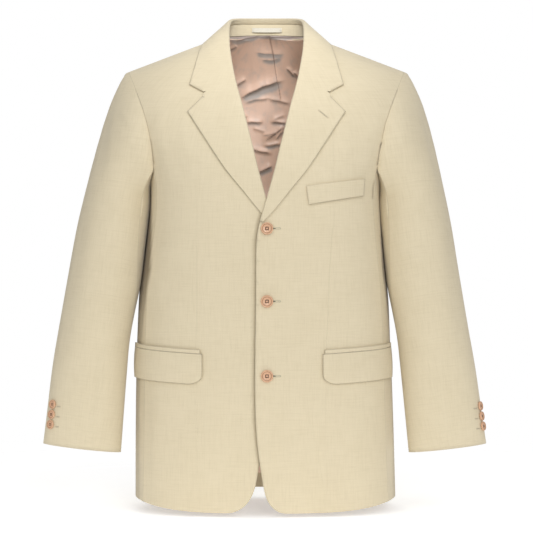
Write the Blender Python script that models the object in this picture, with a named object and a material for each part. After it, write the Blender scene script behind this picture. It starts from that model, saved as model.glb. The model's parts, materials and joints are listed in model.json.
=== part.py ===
"""Single breasted blazer, filled out as worn: hollow cloth panels, sleeves, collar, pockets and buttons.

Metres, +Z up. The origin is the middle of the neck base, the front faces -Y, and +X is the
wearer's left. Each cut piece of the garment is one closed wall of cloth in its own object.
Panels are worked out on the wearer's left half, and the right half is their mirror image.
"""

import math
from collections import namedtuple

import bpy
import numpy as np
from mathutils import Vector
from mathutils.geometry import delaunay_2d_cdt

# ---------------------------------------------------------------- driving sizes

CLOTH = 0.0018  # wall of the linen-like cloth with its fusing
SATIN = 0.0010  # wall of the lining
SEAM_GAP = 0.0003  # between two pieces at a seam
LAY_GAP = 0.0005  # between a piece and the panel that it lies on

HEM_FRONT_Z = -0.7640
HEM_SIDE_Z = -0.7475
HEM_BACK_Z = -0.7520  # also where the side panel's seams end
HEM_RISE_POWER = 4.0  # how late along the front its hem rises to the side seam
SIDE_SEAM_RATIO = 0.92  # where the front meets the side panel, as a share of the half width
FRONT_POWER = 2.8  # roundness of the body's plan: 2 is an ellipse, more is squarer
BACK_POWER = 2.5

SHOULDER_PEAK_Z = 0.0340
SHOULDER_SLOPE = 0.382
SHOULDER_ROUND = 0.015
SHOULDER_TIP_X = 0.2269
FRONT_ARCH = 1.8  # how the front rounds over to the shoulder seam
BACK_ARCH = 2.0
BACK_DROP = 0.080

NECK_X = 0.0740  # half the width of the neck seam at the shoulder
NECK_BACK_Y = 0.0690  # depth of the neck seam behind the shoulder line

ButtonSizes = namedtuple("ButtonSizes", "diameter thickness segments hole_segments")
FRONT_BUTTON = ButtonSizes(0.0200, 0.0034, 18, 5)
CUFF_BUTTON = ButtonSizes(0.0150, 0.0028, 12, 4)
HOLE_PITCH = 0.26  # from the button's middle to a hole's middle, as a share of its radius
HOLE_SIZE = 0.11  # a hole's radius, as a share of the button's
FRONT_BUTTON_Z = (-0.3136, -0.4287, -0.5471)
FRONT_BUTTON_X = 0.0008
CUFF_BUTTON_COUNT = 3
CUFF_BUTTON_PITCH = 0.0161
CuffButtons = namedtuple("CuffButtons", "name side turn_deg top_z")
CUFF_BUTTONS = (  # turned round the sleeve from its front; the two sleeves hang unevenly
    CuffButtons("right", -1.0, 56.0, -0.6022),
    CuffButtons("left", 1.0, 72.0, -0.6066),
)

# Level sections of the body, from the top down. sway is how far the sides hang off centre.
Section = namedtuple("Section", "z half_width front_depth back_depth sway")
SECTIONS = (
    Section(0.0500, 0.2360, 0.104, 0.118, 0.0),
    Section(0.0000, 0.2360, 0.108, 0.120, 0.0),
    Section(-0.1000, 0.2350, 0.119, 0.126, 0.0),
    Section(-0.1300, 0.2295, 0.124, 0.128, -0.0004),
    Section(-0.1600, 0.2175, 0.128, 0.129, -0.0008),
    Section(-0.1900, 0.2045, 0.131, 0.130, -0.0014),
    Section(-0.2170, 0.1950, 0.133, 0.130, -0.0020),
    Section(-0.2430, 0.1895, 0.134, 0.130, -0.0025),
    Section(-0.2620, 0.1880, 0.135, 0.129, -0.0028),
    Section(-0.3000, 0.1912, 0.135, 0.127, -0.0035),
    Section(-0.3700, 0.1995, 0.134, 0.122, -0.0044),
    Section(-0.4200, 0.2052, 0.133, 0.119, -0.0046),
    Section(-0.4900, 0.2080, 0.132, 0.120, -0.0048),
    Section(-0.5500, 0.2103, 0.133, 0.124, -0.0042),
    Section(-0.6500, 0.2125, 0.135, 0.129, -0.0030),
    Section(-0.7700, 0.2142, 0.138, 0.133, -0.0015),
)

# Front opening of each front, from the hem up: the rounded corner, the straight edge with the
# buttons, then the roll line of the lapel up to the neck. x is from the centre towards the
# wearer's own side, so a negative x laps over the centre.
Opening = namedtuple("Opening", "z over_x under_x")
OPENINGS = (
    Opening(-0.7640, 0.0250, 0.0575),
    Opening(-0.7600, 0.0155, 0.0450),
    Opening(-0.7522, 0.0065, 0.0330),
    Opening(-0.7420, -0.0003, 0.0253),
    Opening(-0.7260, -0.0044, 0.0182),
    Opening(-0.7050, -0.0078, 0.0142),
    Opening(-0.6850, -0.0111, 0.0114),
    Opening(-0.6655, -0.0134, 0.0062),
    Opening(-0.6390, -0.0162, -0.0020),
    Opening(-0.6160, -0.0176, -0.0074),
    Opening(-0.5450, -0.0183, -0.0163),
    Opening(-0.4300, -0.0169, -0.0163),
    Opening(-0.3370, -0.0166, -0.0160),
    Opening(-0.3155, -0.0145, -0.0142),
    Opening(-0.2915, -0.0085, -0.0085),
    Opening(-0.2640, 0.0000, 0.0000),
    Opening(-0.2210, 0.0120, 0.0120),
    Opening(-0.1830, 0.0210, 0.0210),
    Opening(-0.1430, 0.0310, 0.0310),
    Opening(-0.1070, 0.0400, 0.0400),
    Opening(-0.0740, 0.0490, 0.0490),
    Opening(-0.0550, 0.0528, 0.0528),
    Opening(-0.0300, 0.0573, 0.0573),
)
BREAK_Z = -0.3030  # where the lapel begins to turn back
GORGE_Z = -0.0550  # where the seam of lapel and collar meets the roll line
NECK_SEAM_FOOT_Z = -0.0450  # where the front's edge leaves the roll line for the neck seam

LAPEL_CLOTH = 0.0016
LAPEL_GAP = 0.0012  # between a lapel and the front that it lies on
ROLL_RADIUS = (CLOTH + 2.0 * LAPEL_GAP + 2.0 * LAPEL_CLOTH) / 2.0

FLAP_START_RIGHT = 0.1010  # round the body from the middle of the front
FLAP_START_LEFT = 0.0900
FLAP_LENGTH = 0.1480
FLAP_HEIGHT = 0.0490
FLAP_FRONT_Z = -0.5125
FLAP_SIDE_Z = -0.5040
FLAP_CORNER = 0.0160
FLAP_CLOTH = 0.0022
FLAP_GAP = 0.0011
FLAP_SWELL = 0.0012  # how far the middle of a flap stands proud
JETTING_HEIGHT = 0.0065
JETTING_SHORT = 0.0030
PLAN_STEPS = 60

# Breast welt as x and z: top start, top end, bottom end, bottom start.
WELT_CORNERS = ((0.0630, -0.2463), (0.1576, -0.2335), (0.1560, -0.2608), (0.0670, -0.2757))
WELT_GAP = 0.0012
WELT_CLOTH = 0.0018

LINING_ROWS = 12
LINING_COLUMNS = 7
LINING_TOP_X = 0.0700
LINING_HEM_X = 0.1600
LINING_RIM_DROP = 0.0060  # where it leaves the back's cloth, below the neck seam
LINING_TOP_DROP = 0.0010  # below the foot of the collar stand
LINING_TOP_SETBACK = 0.0011  # in front of it
LINING_HEM_RISE = 0.0250  # above the back's hem
LINING_GAP = 0.0020  # between the back's cloth and the lining
LINING_EDGE_GAP = 0.0012  # the same at the lining's top edge, where it is sewn on
PLEAT_TOP_X = 0.0020
PLEAT_FOOT_X = 0.0240
PLEAT_LENGTH = 0.1100
PLEAT_DEPTH = 0.0030
PLEAT_STEP = 0.0080

LOOP_X = 0.0007
LOOP_LENGTH = 0.0500
LOOP_HEIGHT = 0.0077
LOOP_TOP_Z = 0.0277
LOOP_CLOTH = 0.0010
LOOP_GAP = 0.0018
LOOP_SLACK = 0.0015
LOOP_COLUMNS = 10

LAPEL_ROWS = 16
LAPEL_ROLL_STEPS = 4
GORGE_GAP = 0.0004  # half the gap between lapel and collar
LAPEL_COLUMNS = 6
LAPEL_TUCK = 0.012  # how far the lapel's facing reaches inside the front's edge

# Outer edge of a lapel, from the break up to its corner.
LapelEdge = namedtuple("LapelEdge", "share x z")
LAPEL_EDGES = (
    LapelEdge(0.00, -0.0060, -0.3036),
    LapelEdge(0.07, 0.0040, -0.2938),
    LapelEdge(0.30, 0.0370, -0.2535),
    LapelEdge(0.50, 0.0635, -0.2212),
    LapelEdge(0.75, 0.0955, -0.1735),
    LapelEdge(1.00, 0.1260, -0.1262),
)

COLLAR_ROWS = 13
COLLAR_COLUMNS = 6
COLLAR_LEG = 0.0060  # how far the leaf reaches down inside the neck to the stand
COLLAR_BULGE = 0.0030
NOTCH_REACH = 0.667  # where the lapel's top edge leaves the collar, along the collar's end
NOTCH_BEND = np.array((-0.0017, 0.0, -0.0288))
STAND_START = 0.16

# The collar from the gorge to the middle of the back, on the wearer's left.
CollarStation = namedtuple(
    "CollarStation", "share fold_x fold_y fold_z edge_x edge_y edge_z seam_x seam_y seam_z")
COLLAR = (
    CollarStation(0.00, 0.0528, -0.0700, -0.0546, 0.1245, -0.0800, -0.0800, 0.0600, -0.0620, -0.0500),
    CollarStation(0.12, 0.0573, -0.0550, -0.0300, 0.1180, -0.0640, -0.0540, 0.0640, -0.0500, -0.0280),
    CollarStation(0.24, 0.0600, -0.0400, -0.0100, 0.1115, -0.0420, -0.0330, 0.0680, -0.0350, -0.0110),
    CollarStation(0.36, 0.0605, -0.0200, 0.0100, 0.1045, -0.0170, -0.0120, 0.0705, -0.0180, 0.0010),
    CollarStation(0.48, 0.0605, 0.0000, 0.0240, 0.0977, 0.0060, -0.0030, 0.0722, 0.0000, 0.0068),
    CollarStation(0.60, 0.0600, 0.0200, 0.0340, 0.0910, 0.0340, -0.0020, 0.0690, 0.0190, 0.0082),
    CollarStation(0.72, 0.0550, 0.0400, 0.0400, 0.0800, 0.0600, -0.0020, 0.0580, 0.0390, 0.0105),
    CollarStation(0.82, 0.0440, 0.0565, 0.0430, 0.0610, 0.0790, -0.0030, 0.0430, 0.0540, 0.0130),
    CollarStation(0.92, 0.0210, 0.0680, 0.0443, 0.0300, 0.0920, -0.0040, 0.0200, 0.0640, 0.0150),
    CollarStation(1.00, 0.0000, 0.0700, 0.0446, 0.0000, 0.0950, -0.0050, 0.0000, 0.0660, 0.0155),
)

# Armhole edge of the front and of the back, from the shoulder tip down.
Armhole = namedtuple("Armhole", "z front_x back_x")
ARMHOLES = (
    Armhole(-0.0528, 0.2269, 0.2269),
    Armhole(-0.0750, 0.2170, 0.2195),
    Armhole(-0.0960, 0.2081, 0.2135),
    Armhole(-0.1268, 0.1965, 0.2070),
    Armhole(-0.1550, 0.1890, 0.2035),
    Armhole(-0.1800, 0.1838, 0.1990),
    Armhole(-0.2170, 0.1794, 0.1925),
)
FRONT_ARMHOLE_FOOT_Z = -0.2170
BACK_ARMHOLE_FOOT_Z = -0.1800

# Seam of back and side panel, as a share of the half width.
BackSeam = namedtuple("BackSeam", "z ratio")
BACK_SEAMS = (
    BackSeam(-0.1800, 0.955),
    BackSeam(-0.2170, 0.925),
    BackSeam(-0.2800, 0.870),
    BackSeam(-0.3700, 0.840),
    BackSeam(-0.5000, 0.830),
    BackSeam(-0.7700, 0.835),
)

# Underarm edge of the side panel, from its front seam to its back seam.
Underarm = namedtuple("Underarm", "share z")
UNDERARMS = (
    Underarm(0.0, FRONT_ARMHOLE_FOOT_Z),
    Underarm(0.2, -0.2350),
    Underarm(0.4, -0.2430),
    Underarm(0.6, -0.2400),
    Underarm(0.8, -0.2190),
    Underarm(1.0, BACK_ARMHOLE_FOOT_Z),
)

# Rings of the sleeve below the armhole, for the wearer's left arm.
Ring = namedtuple("Ring", "z x y half_width half_depth tilt_deg")
RINGS = (
    Ring(-0.2620, 0.2400, -0.014, 0.0560, 0.070, 14.0),
    Ring(-0.3300, 0.2500, -0.026, 0.0596, 0.066, 13.0),
    Ring(-0.4000, 0.2604, -0.036, 0.0600, 0.058, 12.0),
    Ring(-0.4774, 0.2741, -0.044, 0.0588, 0.051, 10.0),
    Ring(-0.5424, 0.2832, -0.048, 0.0608, 0.046, 8.5),
    Ring(-0.6226, 0.2915, -0.053, 0.0623, 0.037, 7.0),
    Ring(-0.6670, 0.2962, -0.056, 0.0634, 0.031, 6.6),
)
CUFF_FRONT_SEAM_DEG = -90.0
CUFF_BACK_SEAM_DEG = 92.0
SEAM_TURN_LENGTH = 0.300  # the seams turn outwards over this length below the armhole
SLEEVE_GAP = 0.0007  # between the sleeve and the armhole edge
SLEEVE_REST_GAP = 0.0014  # between the body and the sleeve that rests against it
SLEEVE_AXIS = np.array((0.95, 0.0, -0.31))  # the way the sleeve leaves the armhole
SLEEVE_HEART = np.array((0.050, 0.0, -0.045))  # from the armhole's middle to inside the sleeve
CAP_ROLL_SIDE = 0.30  # how far the cap keeps the way it leaves the armhole, as a share of its length
CAP_ROLL_TOP = 0.17  # the same at the shoulder, where the cap is pressed flat
CAP_FALL = 0.38  # how far up the cap the fall of the sleeve begins
SLEEVE_BACK_SEAM_COLUMN = 19  # counted round the armhole from the front seam

# How far up each column of the body's panels the rows of points stand, hem to armhole foot.
BODY_SHARES = (0.0, 0.008, 0.022, 0.046, 0.08, 0.125, 0.18, 0.25, 0.32, 0.40, 0.48, 0.56, 0.64,
               0.72, 0.80, 0.87, 0.94, 1.0)
CAP_ROWS = 11  # rows from the armhole foot up to the shoulder seam
FRONT_COLUMNS = 12
NECK_COLUMNS = 3
SHOULDER_COLUMNS = 7
SIDE_COLUMNS = 6
SLEEVE_CAP_ROWS = 7
SLEEVE_ROWS = 12


# ---------------------------------------------------------------- tables and curves

def smooth_step(value):
    """0 below 0, 1 above 1, and an even S between them."""
    share = min(max(value, 0.0), 1.0)
    return share * share * (3.0 - 2.0 * share)


def lerp(start, end, share):
    return start + (end - start) * share


def unit(vector):
    return vector / np.linalg.norm(vector)


def read_table(rows, key, at, column):
    """A column of a table at any value of its key, on a smooth curve that never overshoots its rows."""
    ordered = sorted(rows, key=lambda row: getattr(row, key))
    keys = [getattr(row, key) for row in ordered]
    values = [getattr(row, column) for row in ordered]
    if at <= keys[0]:
        return values[0]
    if at >= keys[-1]:
        return values[-1]
    low = max(index for index, start in enumerate(keys) if start <= at)
    slopes = [(values[i + 1] - values[i]) / (keys[i + 1] - keys[i]) for i in range(len(keys) - 1)]

    def tangent(index):
        if index == 0:
            return slopes[0]
        if index == len(slopes):
            return slopes[-1]
        before, after = slopes[index - 1], slopes[index]
        if before * after <= 0.0:
            return 0.0
        return 2.0 * before * after / (before + after)

    span = keys[low + 1] - keys[low]
    share = (at - keys[low]) / span
    start_bend = tangent(low) * span
    end_bend = tangent(low + 1) * span
    step = values[low + 1] - values[low]
    curve = (3.0 * step - 2.0 * start_bend - end_bend) * share ** 2
    curve += (start_bend + end_bend - 2.0 * step) * share ** 3
    return values[low] + start_bend * share + curve


def section(z):
    return Section(z, *(read_table(SECTIONS, "z", z, name) for name in Section._fields[1:]))


def bezier(points, share):
    """A point on the cubic curve of four control points."""
    rest = 1.0 - share
    weights = (rest ** 3, 3 * rest ** 2 * share, 3 * rest * share ** 2, share ** 3)
    return sum(weight * point for weight, point in zip(weights, points))


# ---------------------------------------------------------------- the body's surface

def shoulder_z(x):
    """Height of the shoulder seam over x."""
    return SHOULDER_PEAK_Z - SHOULDER_SLOPE * math.hypot(x, SHOULDER_ROUND)


def front_drop(x):
    """How far below the shoulder seam the front reaches its full depth."""
    return lerp(0.24, 0.15, smooth_step((abs(x) - 0.06) / 0.14))


def round_share(share, power):
    """Height of a rounded quarter arch, from 0 at its foot to 1 once share reaches 1."""
    return (1.0 - (1.0 - min(max(share, 0.0), 1.0)) ** power) ** (1.0 / power)


def plan_share(ratio, power):
    """Depth of the body's plan at a share of its half width, 1 in the middle and 0 at the side."""
    return (1.0 - min(abs(ratio), 1.0) ** power) ** (1.0 / power)


def front_y(x, z):
    level = section(z)
    rise = round_share((shoulder_z(x) - z) / front_drop(x), FRONT_ARCH)
    return -level.front_depth * rise * plan_share(x / level.half_width, FRONT_POWER)


def back_y(x, z):
    level = section(z)
    rise = round_share((shoulder_z(x) - z) / BACK_DROP, BACK_ARCH)
    return level.back_depth * rise * plan_share(x / level.half_width, BACK_POWER)


def side_x(y, z):
    """Half width of the body at a depth y, below the armhole."""
    level = section(z)
    if y < 0.0:
        return level.half_width * plan_share(y / level.front_depth, FRONT_POWER)
    return level.half_width * plan_share(y / level.back_depth, BACK_POWER)


def body_field(point):
    """0 on the body's surface, and more outside it. It is smooth over the shoulder seam too."""
    x, y, z = point
    level = section(z)
    if y < 0.0:
        depth, drop, arch, power = level.front_depth, front_drop(x), FRONT_ARCH, FRONT_POWER
    else:
        depth, drop, arch, power = level.back_depth, BACK_DROP, BACK_ARCH, BACK_POWER
    share = (shoulder_z(x) - z) / drop
    if share < 0.5:
        plan = plan_share(x / level.half_width, power)
        return (abs(y) / (depth * plan)) ** arch + (1.0 - share) ** arch - 1.0
    rise = round_share(share, arch)
    return (abs(y) / (depth * rise)) ** power + (abs(x) / level.half_width) ** power - 1.0


def body_normal(point):
    """The outward direction of the body's surface."""
    step = 1e-5
    slope = []
    for axis in range(3):
        ahead, behind = np.array(point, float), np.array(point, float)
        ahead[axis] += step
        behind[axis] -= step
        slope.append((body_field(ahead) - body_field(behind)) / (2.0 * step))
    return unit(np.array(slope))


def on_front(x, z):
    return np.array((x, front_y(x, z), z))


def on_back(x, z):
    return np.array((x, back_y(x, z), z))


def on_side(y, z):
    return np.array((side_x(y, z), y, z))


def hang(point):
    """Moves a point with the sway of the garment's sides."""
    level = section(point[2])
    share = min((point[0] / level.half_width) ** 2, 1.0)
    return np.array((point[0] + level.sway * share, point[1], point[2]))


def body_distance(point):
    """About how far a point lies outside the body's surface."""
    step = 1e-5
    slope = []
    for axis in range(3):
        ahead, behind = np.array(point, float), np.array(point, float)
        ahead[axis] += step
        behind[axis] -= step
        slope.append((body_field(ahead) - body_field(behind)) / (2.0 * step))
    return body_field(point) / np.linalg.norm(slope)


def keep_clear(point, clearance, settle=False):
    """Pushes a point out until it is clear of the body. settle also draws a distant one in."""
    for _ in range(6):
        missing = clearance - body_distance(point)
        if missing > 0.0 or settle:
            point = point + body_normal(point) * missing
    return point


# ---------------------------------------------------------------- cloth walls

def make_material(name, color, roughness):
    material = bpy.data.materials.new(name)
    material.use_nodes = True
    shader = material.node_tree.nodes["Principled BSDF"]
    shader.inputs["Base Color"].default_value = (*color, 1.0)
    shader.inputs["Roughness"].default_value = roughness
    shader.inputs["Metallic"].default_value = 0.0
    material.diffuse_color = (*color, 1.0)
    return material


def add_mesh(name, points, faces, material, mirrored=False, smooth_angle=40.0):
    """One object from points and faces, turned to face outward."""
    if mirrored:
        points = [(-x, y, z) for x, y, z in points]
    volume = 0.0
    for face in faces:
        first = np.array(points[face[0]])
        for second, third in zip(face[1:-1], face[2:]):
            volume += np.dot(first, np.cross(points[second], points[third]))
    if volume < 0.0:
        faces = [tuple(reversed(face)) for face in faces]
    mesh = bpy.data.meshes.new(name)
    mesh.from_pydata([tuple(map(float, point)) for point in points], [], faces)
    mesh.update()
    mesh.shade_smooth()
    mesh.set_sharp_from_angle(angle=math.radians(smooth_angle))
    mesh.materials.append(material)
    piece = bpy.data.objects.new(name, mesh)
    bpy.context.scene.collection.objects.link(piece)
    return piece


def wall_faces(outer):
    """Faces of a closed wall: the outer grid of points comes first, then a like grid of inner points."""
    rows, columns = len(outer), len(outer[0])
    count = rows * columns
    faces = []
    for row in range(rows - 1):
        for column in range(columns - 1):
            start = row * columns + column
            corners = (start, start + 1, start + columns + 1, start + columns)
            rising = np.linalg.norm(outer[row + 1][column + 1] - outer[row][column])
            falling = np.linalg.norm(outer[row + 1][column] - outer[row][column + 1])
            split = ((0, 1, 2), (0, 2, 3)) if rising < falling else ((0, 1, 3), (1, 2, 3))
            for triangle in split:
                face = tuple(corners[index] for index in triangle)
                faces.append(face)
                faces.append(tuple(count + index for index in reversed(face)))
    rim = list(range(columns))
    rim += [row * columns + columns - 1 for row in range(1, rows)]
    rim += [(rows - 1) * columns + column for column in range(columns - 2, -1, -1)]
    rim += [row * columns for row in range(rows - 2, 0, -1)]
    for index, start in enumerate(rim):
        end = rim[(index + 1) % len(rim)]
        if start < end:
            faces += [(end, start, count + end), (start, count + start, count + end)]
        else:
            faces += [(end, start, count + start), (end, count + start, count + end)]
    return faces


def add_wall(name, outer, inner, material, mirrored=False):
    """A wall between an outer and an inner grid of points, each a list of rows."""
    points = [point for row in outer for point in row] + [point for row in inner for point in row]
    return add_mesh(name, points, wall_faces(outer), material, mirrored)


def add_panel(name, surface, material, mirrored=False, lift=None, cloth=CLOTH):
    """A panel of the body from a grid of points on its surface, thickened inwards."""
    outer, inner = [], []
    for row in surface:
        normals = [body_normal(point) for point in row]
        raised = [lift(point) if lift else 0.0 for point in row]
        outer.append([point + normal * high for point, normal, high in zip(row, normals, raised)])
        inner.append([point - normal * cloth for point, normal in zip(outer[-1], normals)])
    side = -1.0 if mirrored else 1.0
    outer = [[swayed(point, side) for point in row] for row in outer]
    inner = [[swayed(point, side) for point in row] for row in inner]
    return add_wall(name, outer, inner, material, mirrored)


def swayed(point, side):
    """hang() for a point worked out on the left half that will be mirrored when side is -1."""
    moved = hang(np.array((point[0] * side, point[1], point[2])))
    return np.array((moved[0] * side, moved[1], moved[2]))


# ---------------------------------------------------------------- fronts, sides and backs

def opening_x(z, over):
    """The front opening's edge, or the lapel's roll line higher up."""
    return read_table(OPENINGS, "z", z, "over_x" if over else "under_x")


def roll_setback(z):
    """How far the front's own edge lies behind the roll that the lapel makes round it."""
    return ROLL_RADIUS * smooth_step((z - BREAK_Z) / 0.025)


def front_edge_x(z, over):
    """Inner edge of the front panel: opening, roll line, then the neck seam to the shoulder."""
    neck_share = smooth_step((z - NECK_SEAM_FOOT_Z) / (shoulder_z(NECK_X) - NECK_SEAM_FOOT_Z))
    return lerp(opening_x(z, over) + roll_setback(z), NECK_X, neck_share)


def armhole_foot_share(step):
    """Height share of a row of the cap, with the rows closer together near the shoulder seam."""
    return 1.0 - (1.0 - step / CAP_ROWS) ** 1.4


def front_surface(over):
    """Points of one front, rows from the hem up, columns from the opening to the side."""
    shares = [column / FRONT_COLUMNS for column in range(FRONT_COLUMNS + 1)]
    hem_seam_x = SIDE_SEAM_RATIO * section(HEM_BACK_Z).half_width
    hem_start_x = opening_x(HEM_FRONT_Z, over)
    heights = []
    for share in shares:
        hem_x = lerp(hem_start_x, hem_seam_x, share)
        rise = (hem_x / hem_seam_x) ** HEM_RISE_POWER
        hem_z = lerp(HEM_FRONT_Z, HEM_BACK_Z, rise)
        foot_z = lerp(BREAK_Z, FRONT_ARMHOLE_FOOT_Z, share)
        top_z = shoulder_z(lerp(NECK_X, SHOULDER_TIP_X, share))
        column = [lerp(hem_z, foot_z, up) for up in BODY_SHARES]
        column += [lerp(foot_z, top_z, armhole_foot_share(step)) for step in range(1, CAP_ROWS + 1)]
        heights.append(column)
    grid = []
    for row in range(len(heights[0])):
        inner_x = front_edge_x(heights[0][row], over)
        outer_z = heights[-1][row]
        if row < len(BODY_SHARES) - 1:
            outer_x = SIDE_SEAM_RATIO * section(outer_z).half_width - SEAM_GAP / 2.0
        else:
            outer_x = read_table(ARMHOLES, "z", outer_z, "front_x")
        points = []
        for share, column in zip(shares, heights):
            x = lerp(inner_x, outer_x, share)
            z = column[row]
            points.append(np.array((x, min(front_y(x, z), -SEAM_GAP / 2.0), z)))
        grid.append(points)
    return grid


def side_surface():
    """Points of a side panel, rows from the hem up, columns from front seam to back seam."""
    shares = [column / SIDE_COLUMNS for column in range(SIDE_COLUMNS + 1)]
    grid = []
    for up in BODY_SHARES:
        points = []
        for share in shares:
            hem_z = lerp(HEM_SIDE_Z, HEM_BACK_Z, (2.0 * share - 1.0) ** 2)
            z = lerp(hem_z, read_table(UNDERARMS, "share", share, "z"), up)
            half_width = section(z).half_width
            front_seam_y = front_y(SIDE_SEAM_RATIO * half_width, z) + SEAM_GAP / 2.0
            back_seam_y = back_y(read_table(BACK_SEAMS, "z", z, "ratio") * half_width, z)
            points.append(on_side(lerp(front_seam_y, back_seam_y - SEAM_GAP / 2.0, share), z))
        grid.append(points)
    return grid


def back_neck_z(x):
    """Height of the neck seam across the back, or of the shoulder seam beyond it."""
    if x >= NECK_X:
        return shoulder_z(x)
    level = section(0.0)
    depth = level.back_depth * plan_share(x / level.half_width, BACK_POWER)
    share = NECK_BACK_Y * math.sqrt(1.0 - (x / NECK_X) ** 2) / depth
    return shoulder_z(x) - BACK_DROP * (1.0 - (1.0 - share ** BACK_ARCH) ** (1.0 / BACK_ARCH))


def back_surface():
    """Points of one back, rows from the hem up, columns from the centre seam outwards."""
    neck_share = NECK_X / SHOULDER_TIP_X
    shares = [neck_share * column / NECK_COLUMNS for column in range(NECK_COLUMNS + 1)]
    shares += [lerp(neck_share, 1.0, column / SHOULDER_COLUMNS)
               for column in range(1, SHOULDER_COLUMNS + 1)]
    grid = []
    for row in range(len(BODY_SHARES) + CAP_ROWS):
        if row < len(BODY_SHARES):
            outer_z = lerp(HEM_BACK_Z, BACK_ARMHOLE_FOOT_Z, BODY_SHARES[row])
        else:
            up = armhole_foot_share(row - len(BODY_SHARES) + 1)
            outer_z = lerp(BACK_ARMHOLE_FOOT_Z, shoulder_z(SHOULDER_TIP_X), up)
        if row < len(BODY_SHARES) - 1:
            ratio = read_table(BACK_SEAMS, "z", outer_z, "ratio")
            outer_x = ratio * section(outer_z).half_width - SEAM_GAP / 2.0
        else:
            outer_x = read_table(ARMHOLES, "z", outer_z, "back_x")
        points = []
        for share in shares:
            x = max(share * outer_x, SEAM_GAP / 2.0)
            z = outer_z
            if row >= len(BODY_SHARES):
                z = lerp(BACK_ARMHOLE_FOOT_Z, back_neck_z(share * SHOULDER_TIP_X), up)
            points.append(np.array((x, max(back_y(x, z), SEAM_GAP / 2.0), z)))
        grid.append(points)
    return grid


def lap_lift(point):
    """How far the front that laps over is raised, to pass over the other front and its lapel."""
    x, _, z = point
    across = smooth_step((0.064 - x) / 0.050)
    below_neck = smooth_step((-0.215 - z) / 0.045)
    over_lapel = smooth_step((z + 0.350) / 0.045)
    return across * below_neck * (CLOTH + LAY_GAP + (LAPEL_CLOTH + LAPEL_GAP) * over_lapel)


# ---------------------------------------------------------------- sleeves

def armhole_loop():
    """Points round the left armhole: up the front, over the shoulder, down the back and under."""
    front = [row[-1] for row in front_surface(over=True)[len(BODY_SHARES) - 1:]]
    back = [row[-1] for row in back_surface()[len(BODY_SHARES) - 1:]]
    under = side_surface()[-1]
    tip = np.array((SHOULDER_TIP_X, 0.0, shoulder_z(SHOULDER_TIP_X)))
    loop = front[:-1] + [tip] + list(reversed(back[:-1]))
    return loop + list(reversed(under[1:-1]))


def ring_point(z, angle):
    """A point of the sleeve's ring centred at z. The angle is 0 at the front, 90 degrees outside."""
    ring = Ring(z, *(read_table(RINGS, "z", z, name) for name in Ring._fields[1:]))
    tilt = math.radians(ring.tilt_deg)
    across = ring.half_width * math.sin(angle)
    return np.array((
        ring.x + across * math.cos(tilt),
        ring.y - ring.half_depth * math.cos(angle),
        z + across * math.sin(tilt),
    ))


def sleeve_surface():
    """Points of the whole left sleeve: rows from the armhole to the cuff, columns round the loop."""
    loop = armhole_loop()
    count = len(loop)
    normals = [body_normal(point) for point in loop]
    middle = sum(loop) / count
    angles = [math.atan2(point[2] - middle[2], middle[1] - point[1]) for point in loop]
    angles = [angle + 2.0 * math.pi if angle < angles[0] - 1e-9 else angle for angle in angles]
    back_seam = SLEEVE_BACK_SEAM_COLUMN
    cuff_angles = []
    for column in range(count):
        if column <= back_seam:
            turn = lerp(CUFF_FRONT_SEAM_DEG, CUFF_BACK_SEAM_DEG, column / back_seam)
        else:
            share = (column - back_seam) / (count - back_seam)
            turn = lerp(CUFF_BACK_SEAM_DEG, CUFF_FRONT_SEAM_DEG + 360.0, share)
        cuff_angles.append(math.radians(turn))
    top_z, cuff_z = RINGS[0].z, RINGS[-1].z
    heart = middle + SLEEVE_HEART
    rows = [[] for _ in range(SLEEVE_CAP_ROWS + SLEEVE_ROWS + 1)]
    start_normals = []
    for column, (start, normal) in enumerate(zip(loop, normals)):
        spread = unit((start - middle) * np.array((0.0, 1.0, 1.0)))
        flare = np.interp(spread[2], (-1.0, -0.4, 0.3, 1.0), (3.0, 0.7, 0.15, -0.30))
        leave = unit(SLEEVE_AXIS + spread * flare)
        facing = unit(np.cross(loop[(column + 1) % count] - loop[column - 1], leave))
        facing = facing if np.dot(facing, start - heart) > 0.0 else -facing
        agree = np.dot(facing, normal)
        start_normals.append(unit(lerp(facing, normal, smooth_step(agree / 0.6))))
        first = start + unit(leave - 2.0 * normal * min(agree, 0.0)) * SLEEVE_GAP
        last = ring_point(top_z, angles[column])
        down = unit(ring_point(top_z - 0.01, angles[column]) - last)
        reach = np.linalg.norm(last - first)
        roll = np.interp(spread[2], (0.2, 1.0), (CAP_ROLL_SIDE, CAP_ROLL_TOP))
        controls = (first, first + leave * reach * roll, last - down * reach * CAP_FALL, last)
        for row in range(SLEEVE_CAP_ROWS):
            point = bezier(controls, (row / SLEEVE_CAP_ROWS) ** 1.25)
            rows[row].append(keep_clear(point, SLEEVE_REST_GAP * min(row / 3.0, 1.0)) if row else point)
        for row in range(SLEEVE_ROWS + 1):
            z = lerp(top_z, cuff_z, row / SLEEVE_ROWS)
            turn = smooth_step((top_z - z) / SEAM_TURN_LENGTH)
            angle = lerp(angles[column], cuff_angles[column], turn)
            rows[SLEEVE_CAP_ROWS + row].append(keep_clear(ring_point(z, angle), SLEEVE_REST_GAP))
    return rows, start_normals


def sleeve_normals(rows, start_normals):
    """Outward directions of the sleeve, which start from those at the armhole."""
    count = len(rows[0])
    normals = [start_normals]
    for row in range(1, len(rows)):
        points, above, below = rows[row], rows[row - 1], rows[min(row + 1, len(rows) - 1)]
        middle = sum(points) / count
        directions = []
        for column in range(count):
            around = points[(column + 1) % count] - points[column - 1]
            direction = unit(np.cross(around, below[column] - above[column]))
            if np.dot(direction, points[column] - middle) < 0.0:
                direction = -direction
            start_share = 0.5 if row == 1 else 0.0
            directions.append(unit(lerp(direction, start_normals[column], start_share)))
        normals.append(directions)
    return normals


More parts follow.
